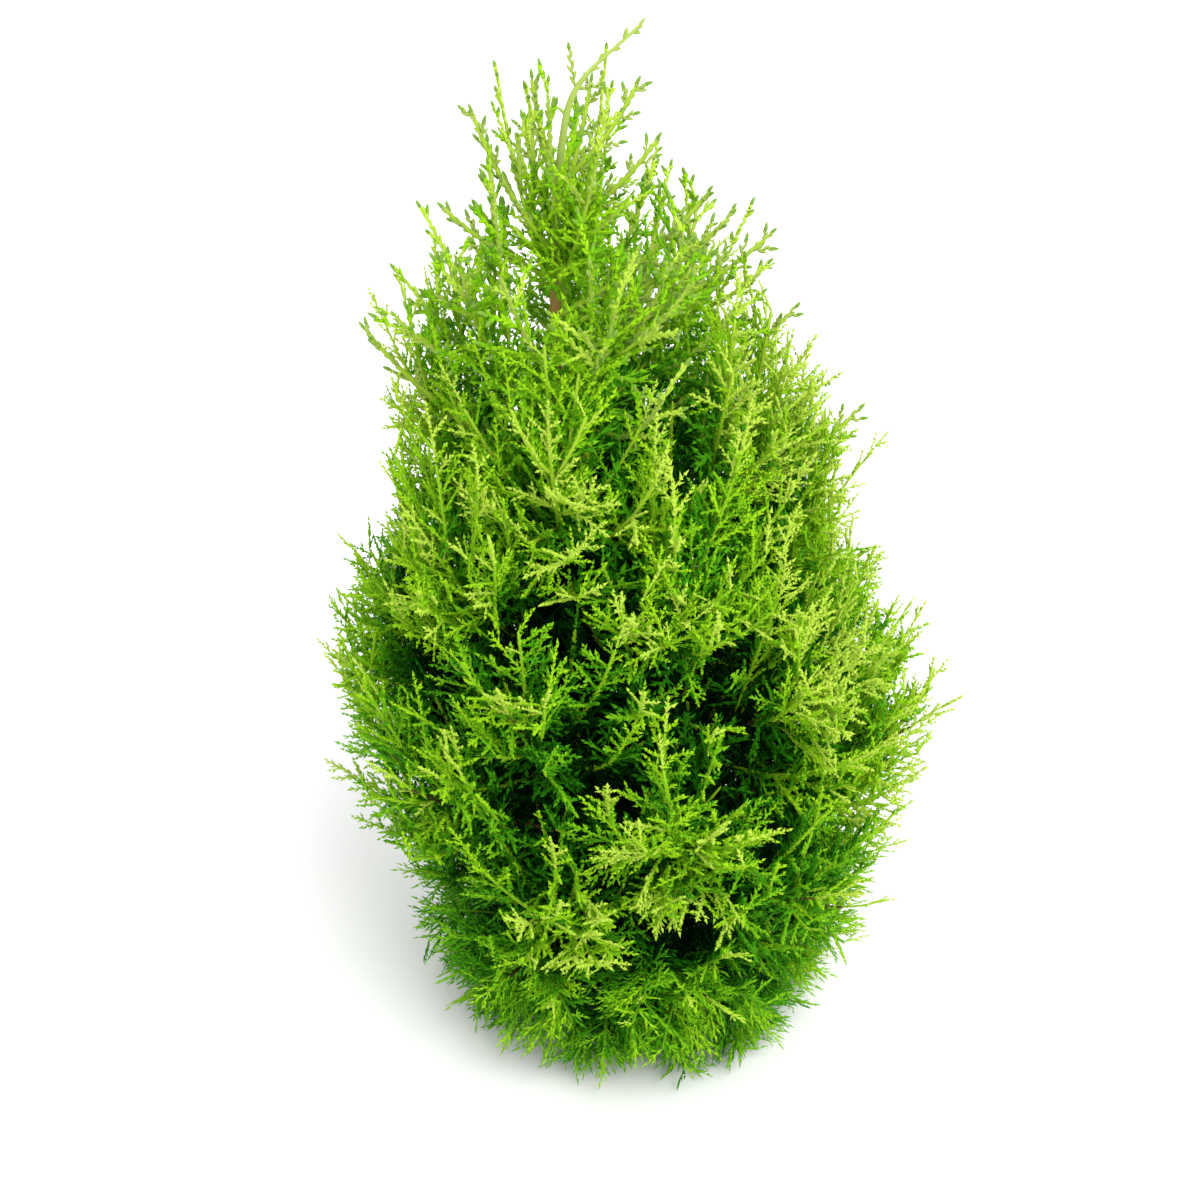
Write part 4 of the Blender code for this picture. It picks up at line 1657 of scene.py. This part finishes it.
class Foliage:
    """All plumes of the crown, gathered into pieces by zone and tint."""

    young_from: float = 0.15
    limb_radii: tuple = (0.0016, 0.0006)
    open_radii: tuple = (0.0011, 0.0006)
    arm_radii: tuple = (0.0008, 0.0006)
    limb_samples: int = 18
    limb_sides: int = 5
    arm_samples: int = 6
    arm_sides: int = 4
    outer_samples: int = 28
    clothed_from: float = 0.45
    bare: float = 0.36
    trunk_heights: tuple = (0.030, 0.262, 0.0005)
    trunk_lengths: tuple = (0.024, 0.046)
    trunk_zones: tuple = (0.08, 0.18)

    def __init__(self, limbs: list[Limb], routes: list[Route]) -> None:
        """Makes the shapes of spray and grows every plume.

        Args:
            limbs: The limbs of the tree.
            routes: Their paths.
        """
        self.limbs = limbs
        self.library = SprayMaker().library()
        self.leaves: dict[tuple[str, Tint], Shape] = defaultdict(Shape)
        self.green: dict[str, Shape] = defaultdict(Shape)
        self.brown: dict[str, Shape] = defaultdict(Shape)
        space = Space(routes)
        self.growths: list[Growth] = []
        for own, (limb, route) in enumerate(zip(limbs, routes)):
            zone = next(zone.name for zone in ZONES if limb.tier.name in zone.tiers)
            plume = Plume(own, limb, route, space, zone, seeded(Stream.PLUMES, own))
            plume.grow()
            self.stems(plume)
            self.growths += plume.sprays
        self.growths += self.trunk_sprays()

    def trunk_sprays(self) -> list[Growth]:
        """Sets old sprays on the trunk itself, under the plumes.

        Returns:
            The sprays.
        """
        draw = seeded(Stream.TRUNK_SPRAYS)
        sprays = []
        for i, height in enumerate(np.arange(*self.trunk_heights)):
            azimuth = i * GOLDEN_ANGLE
            out = unit(np.array([math.cos(azimuth), math.sin(azimuth), draw.uniform(0.3, 0.9)]))
            flat = unit(np.cross(out, draw.normal(size=3)))
            zone = ZONES[int(np.searchsorted(self.trunk_zones, height))].name
            length = draw.uniform(*self.trunk_lengths)
            # Painted shade: sprays on the trunk take the darkest tint.
            sprays.append(Growth(Kind.INNER, zone, TRUNK.point(height), out, flat, length, 0.0))
        return sprays

    def stems(self, plume: Plume) -> None:
        """Adds the limb inside its plume and the plume's arms, clothed in scale leaves further out, but for
        fine plumes.

        Args:
            plume: The plume, grown.
        """
        tier, route = plume.limb.tier, plume.route
        shape = self.green if tier.root_height > self.young_from else self.brown
        path = route.stem(tier.bough_share * route.length, plume.stem_end, self.limb_samples)
        radii = self.open_radii if tier.kind is Kind.OPEN else self.limb_radii
        shape[plume.zone].add(rod(path, np.linspace(*radii, len(path) - 2), self.limb_sides))
        draw = seeded(Stream.STEM_SCALES, plume.own)
        for arm in plume.arms:
            path = arm.stem(0, arm.length, self.arm_samples)
            radii = np.linspace(*self.arm_radii, len(path) - 2)
            self.green[plume.zone].add(rod(path, radii, self.arm_sides))
        if tier.kind is Kind.FINE:
            return
        maker, form = SprayMaker(), FORMS[tier.kind]
        leaves = self.leaves[plume.zone, Tint.OLIVE if tier.kind is Kind.OPEN else Tint.LIME]
        outer = route.cut(self.clothed_from * plume.stem_end, plume.stem_end, self.outer_samples)
        for stem in [outer] + plume.arms:
            start = self.bare * stem.length
            maker.set_scales(leaves, form, stem, start, across(stem.way(0)), draw)

    @staticmethod
    def tint(youth_and_light: float) -> Tint:
        """The tint for this lightness, which stands for young growth, painted light and painted shade."""
        step = round((1 - youth_and_light) * (len(TINTS) - 1))
        return TINTS[min(max(step, 0), len(TINTS) - 1)]

    def set_sprays(self) -> None:
        """Turns every growth into its spray's meshes, tint by tint."""
        draw = seeded(Stream.DEALING)
        groups: dict[tuple, list[Growth]] = defaultdict(list)
        for growth in self.growths:
            form = FORMS[growth.kind]
            size = int(np.argmin([abs(length - growth.length) for length in form.lengths]))
            variant = int(draw.integers(form.variants))
            tint = self.tint(growth.youth_and_light)
            groups[growth.kind, size, variant, growth.zone, tint].append(growth)
        for (kind, size, variant, zone, tint), grown in groups.items():
            spray = self.library[kind][size][variant]
            roots = np.stack([growth.root for growth in grown])
            ways = np.stack([growth.way for growth in grown])
            flats = np.stack([growth.flat for growth in grown])
            axes = np.stack([ways, np.cross(flats, ways), flats], axis=1)
            sizes = np.array([growth.length / spray.length for growth in grown])
            # The shoot, and the tip branchlets of all outer kinds but the open one, go one tint lighter:
            # partly young tips, partly a painted highlight on the lit shoots.
            step = 0 if kind in (Kind.INNER, Kind.SHADED) else 1
            core = TINTS[max(TINTS.index(tint) - step, 0)]
            lighter = Tint.SAGE if kind is Kind.OPEN else core
            targets = [self.leaves[zone, shade] for shade in (core, tint, lighter)]
            for part, target in zip(spray.parts(), targets):
                target.add_copies(part.merged(), roots, axes, sizes)

    def build(self) -> None:
        """Builds and dresses every piece of the foliage."""
        self.set_sprays()
        top = ZONES[-1].name
        Crest().grow(self.green[top], self.leaves[top, Tint.OLIVE], self.leaves[top, Tint.SAGE])
        leaf = {tint: LeafFinish("scale leaf " + tint.name.lower(), tint.value).material() for tint in Tint}
        # The shoots go darker low in the crown and lighter at the top, partly their own colour and partly
        # painted shade and painted light; the brown twig is darkened as painted shade inside the crown.
        lemon = StemFinish("lemon shoot", (0.360, 0.540, 0.035)).material()
        lime = StemFinish("lime shoot", (0.240, 0.470, 0.015)).material()
        green = StemFinish("green shoot", (0.120, 0.320, 0.010)).material()
        twig = StemFinish("brown twig", (0.070, 0.050, 0.020)).material()
        for zone in ZONES:
            nodes = [f"foliage_{limb.tier.name}_{limb.index + 1}" for limb in self.limbs
                     if limb.tier.name in zone.tiers]
            for tint in Tint:
                if (zone.name, tint) not in self.leaves:
                    continue
                for i, shape in enumerate(self.leaves[zone.name, tint].split(MOST_TRIANGLES)):
                    piece = shape.build(f"sprays_{zone.name}_{tint.name.lower()}_{i + 1}")
                    settle(piece, leaf[tint], nodes)
            # Darker shoots low down, lighter at the top: partly their own colour, partly painted shade and
            # light.
            shoot = {"skirt": green, "upper": lemon}.get(zone.name, lime)
            settle(self.green[zone.name].build(f"shoots_{zone.name}"), shoot, nodes)
            if zone.name in self.brown:
                settle(self.brown[zone.name].build(f"twigs_{zone.name}"), twig, nodes)


@dataclass
class Studio:
    """A plain pale floor, soft light and the camera of the reference view."""

    target: tuple = (0.0, 0.0, 0.205)
    distance: float = 0.85
    elevation: float = math.radians(30)
    focal_pixels: float = 1955.0
    frame_pixels: float = 1200.0
    target_pixel: float = 622.0
    sensor: float = 36.0
    clip: tuple = (0.05, 50.0)
    floor_size: float = 14.0
    sky_strength: float = 1.1
    key_from: tuple = (0.62, -0.95, 1.45)
    key_strength: float = 2.4
    key_spread: float = math.radians(35)

    def camera(self) -> None:
        """Sets the camera up."""
        data = bpy.data.cameras.new("view")
        data.sensor_width = self.sensor
        data.lens = self.focal_pixels / self.frame_pixels * self.sensor
        data.shift_x = (self.frame_pixels / 2 - self.target_pixel) / self.frame_pixels
        data.clip_start, data.clip_end = self.clip
        made = bpy.data.objects.new("view", data)
        back = self.distance * math.cos(self.elevation)
        rise = self.distance * math.sin(self.elevation)
        made.location = (self.target[0], self.target[1] - back, self.target[2] + rise)
        made.rotation_euler = (math.pi / 2 - self.elevation, 0.0, 0.0)
        bpy.context.scene.collection.objects.link(made)
        bpy.context.scene.camera = made

    def floor(self) -> None:
        """Lays the floor."""
        half = self.floor_size / 2
        corners = np.array([(-half, -half, 0), (half, -half, 0), (half, half, 0), (-half, half, 0)])
        shape = Shape()
        shape.add((corners, np.array([(0, 1, 2), (0, 2, 3)])))
        floor = shape.build("floor", smooth=False)
        floor.data.materials.append(FloorFinish().material())

    def sun(self, name: str, source: tuple, strength: float, spread: float) -> None:
        """Sets up a distant soft light, even over the whole floor.

        Args:
            name: The light's name.
            source: The direction that it comes from.
            strength: Its strength in watts for each square metre.
            spread: The angle that it fills, in radians, which softens its shadows.
        """
        data = bpy.data.lights.new(name, "SUN")
        data.energy = strength
        data.angle = spread
        made = bpy.data.objects.new(name, data)
        made.rotation_mode = "QUATERNION"
        made.rotation_quaternion = Vector(source).to_track_quat("Z", "Y")
        bpy.context.scene.collection.objects.link(made)

    def build(self) -> None:
        """Sets up floor, light and camera."""
        self.camera()
        self.floor()
        world = bpy.data.worlds.new("studio")
        world.use_nodes = True
        sky = world.node_tree.nodes["Background"]
        sky.inputs["Color"].default_value = (1.0, 1.0, 1.0, 1.0)
        sky.inputs["Strength"].default_value = self.sky_strength
        bpy.context.scene.world = world
        self.sun("key", self.key_from, self.key_strength, self.key_spread)
        bpy.context.scene.view_settings.view_transform = "Standard"


def main() -> None:
    """Builds the tree and its studio."""
    logging.basicConfig(level=logging.INFO, format="%(message)s")
    Studio().build()
    limbs = [Limb(tier, index) for tier in TIERS for index in range(tier.count)]
    routes = [limb.route() for limb in limbs]
    Trunk().build()
    Boughs().build(limbs, routes)
    foliage = Foliage(limbs, routes)
    kinds = [growth.kind for growth in foliage.growths]
    for kind in Kind:
        log.info("%s sprays: %d", kind.value, kinds.count(kind))
    foliage.build()
    bpy.context.view_layer.update()


if __name__ == "__main__":
    main()
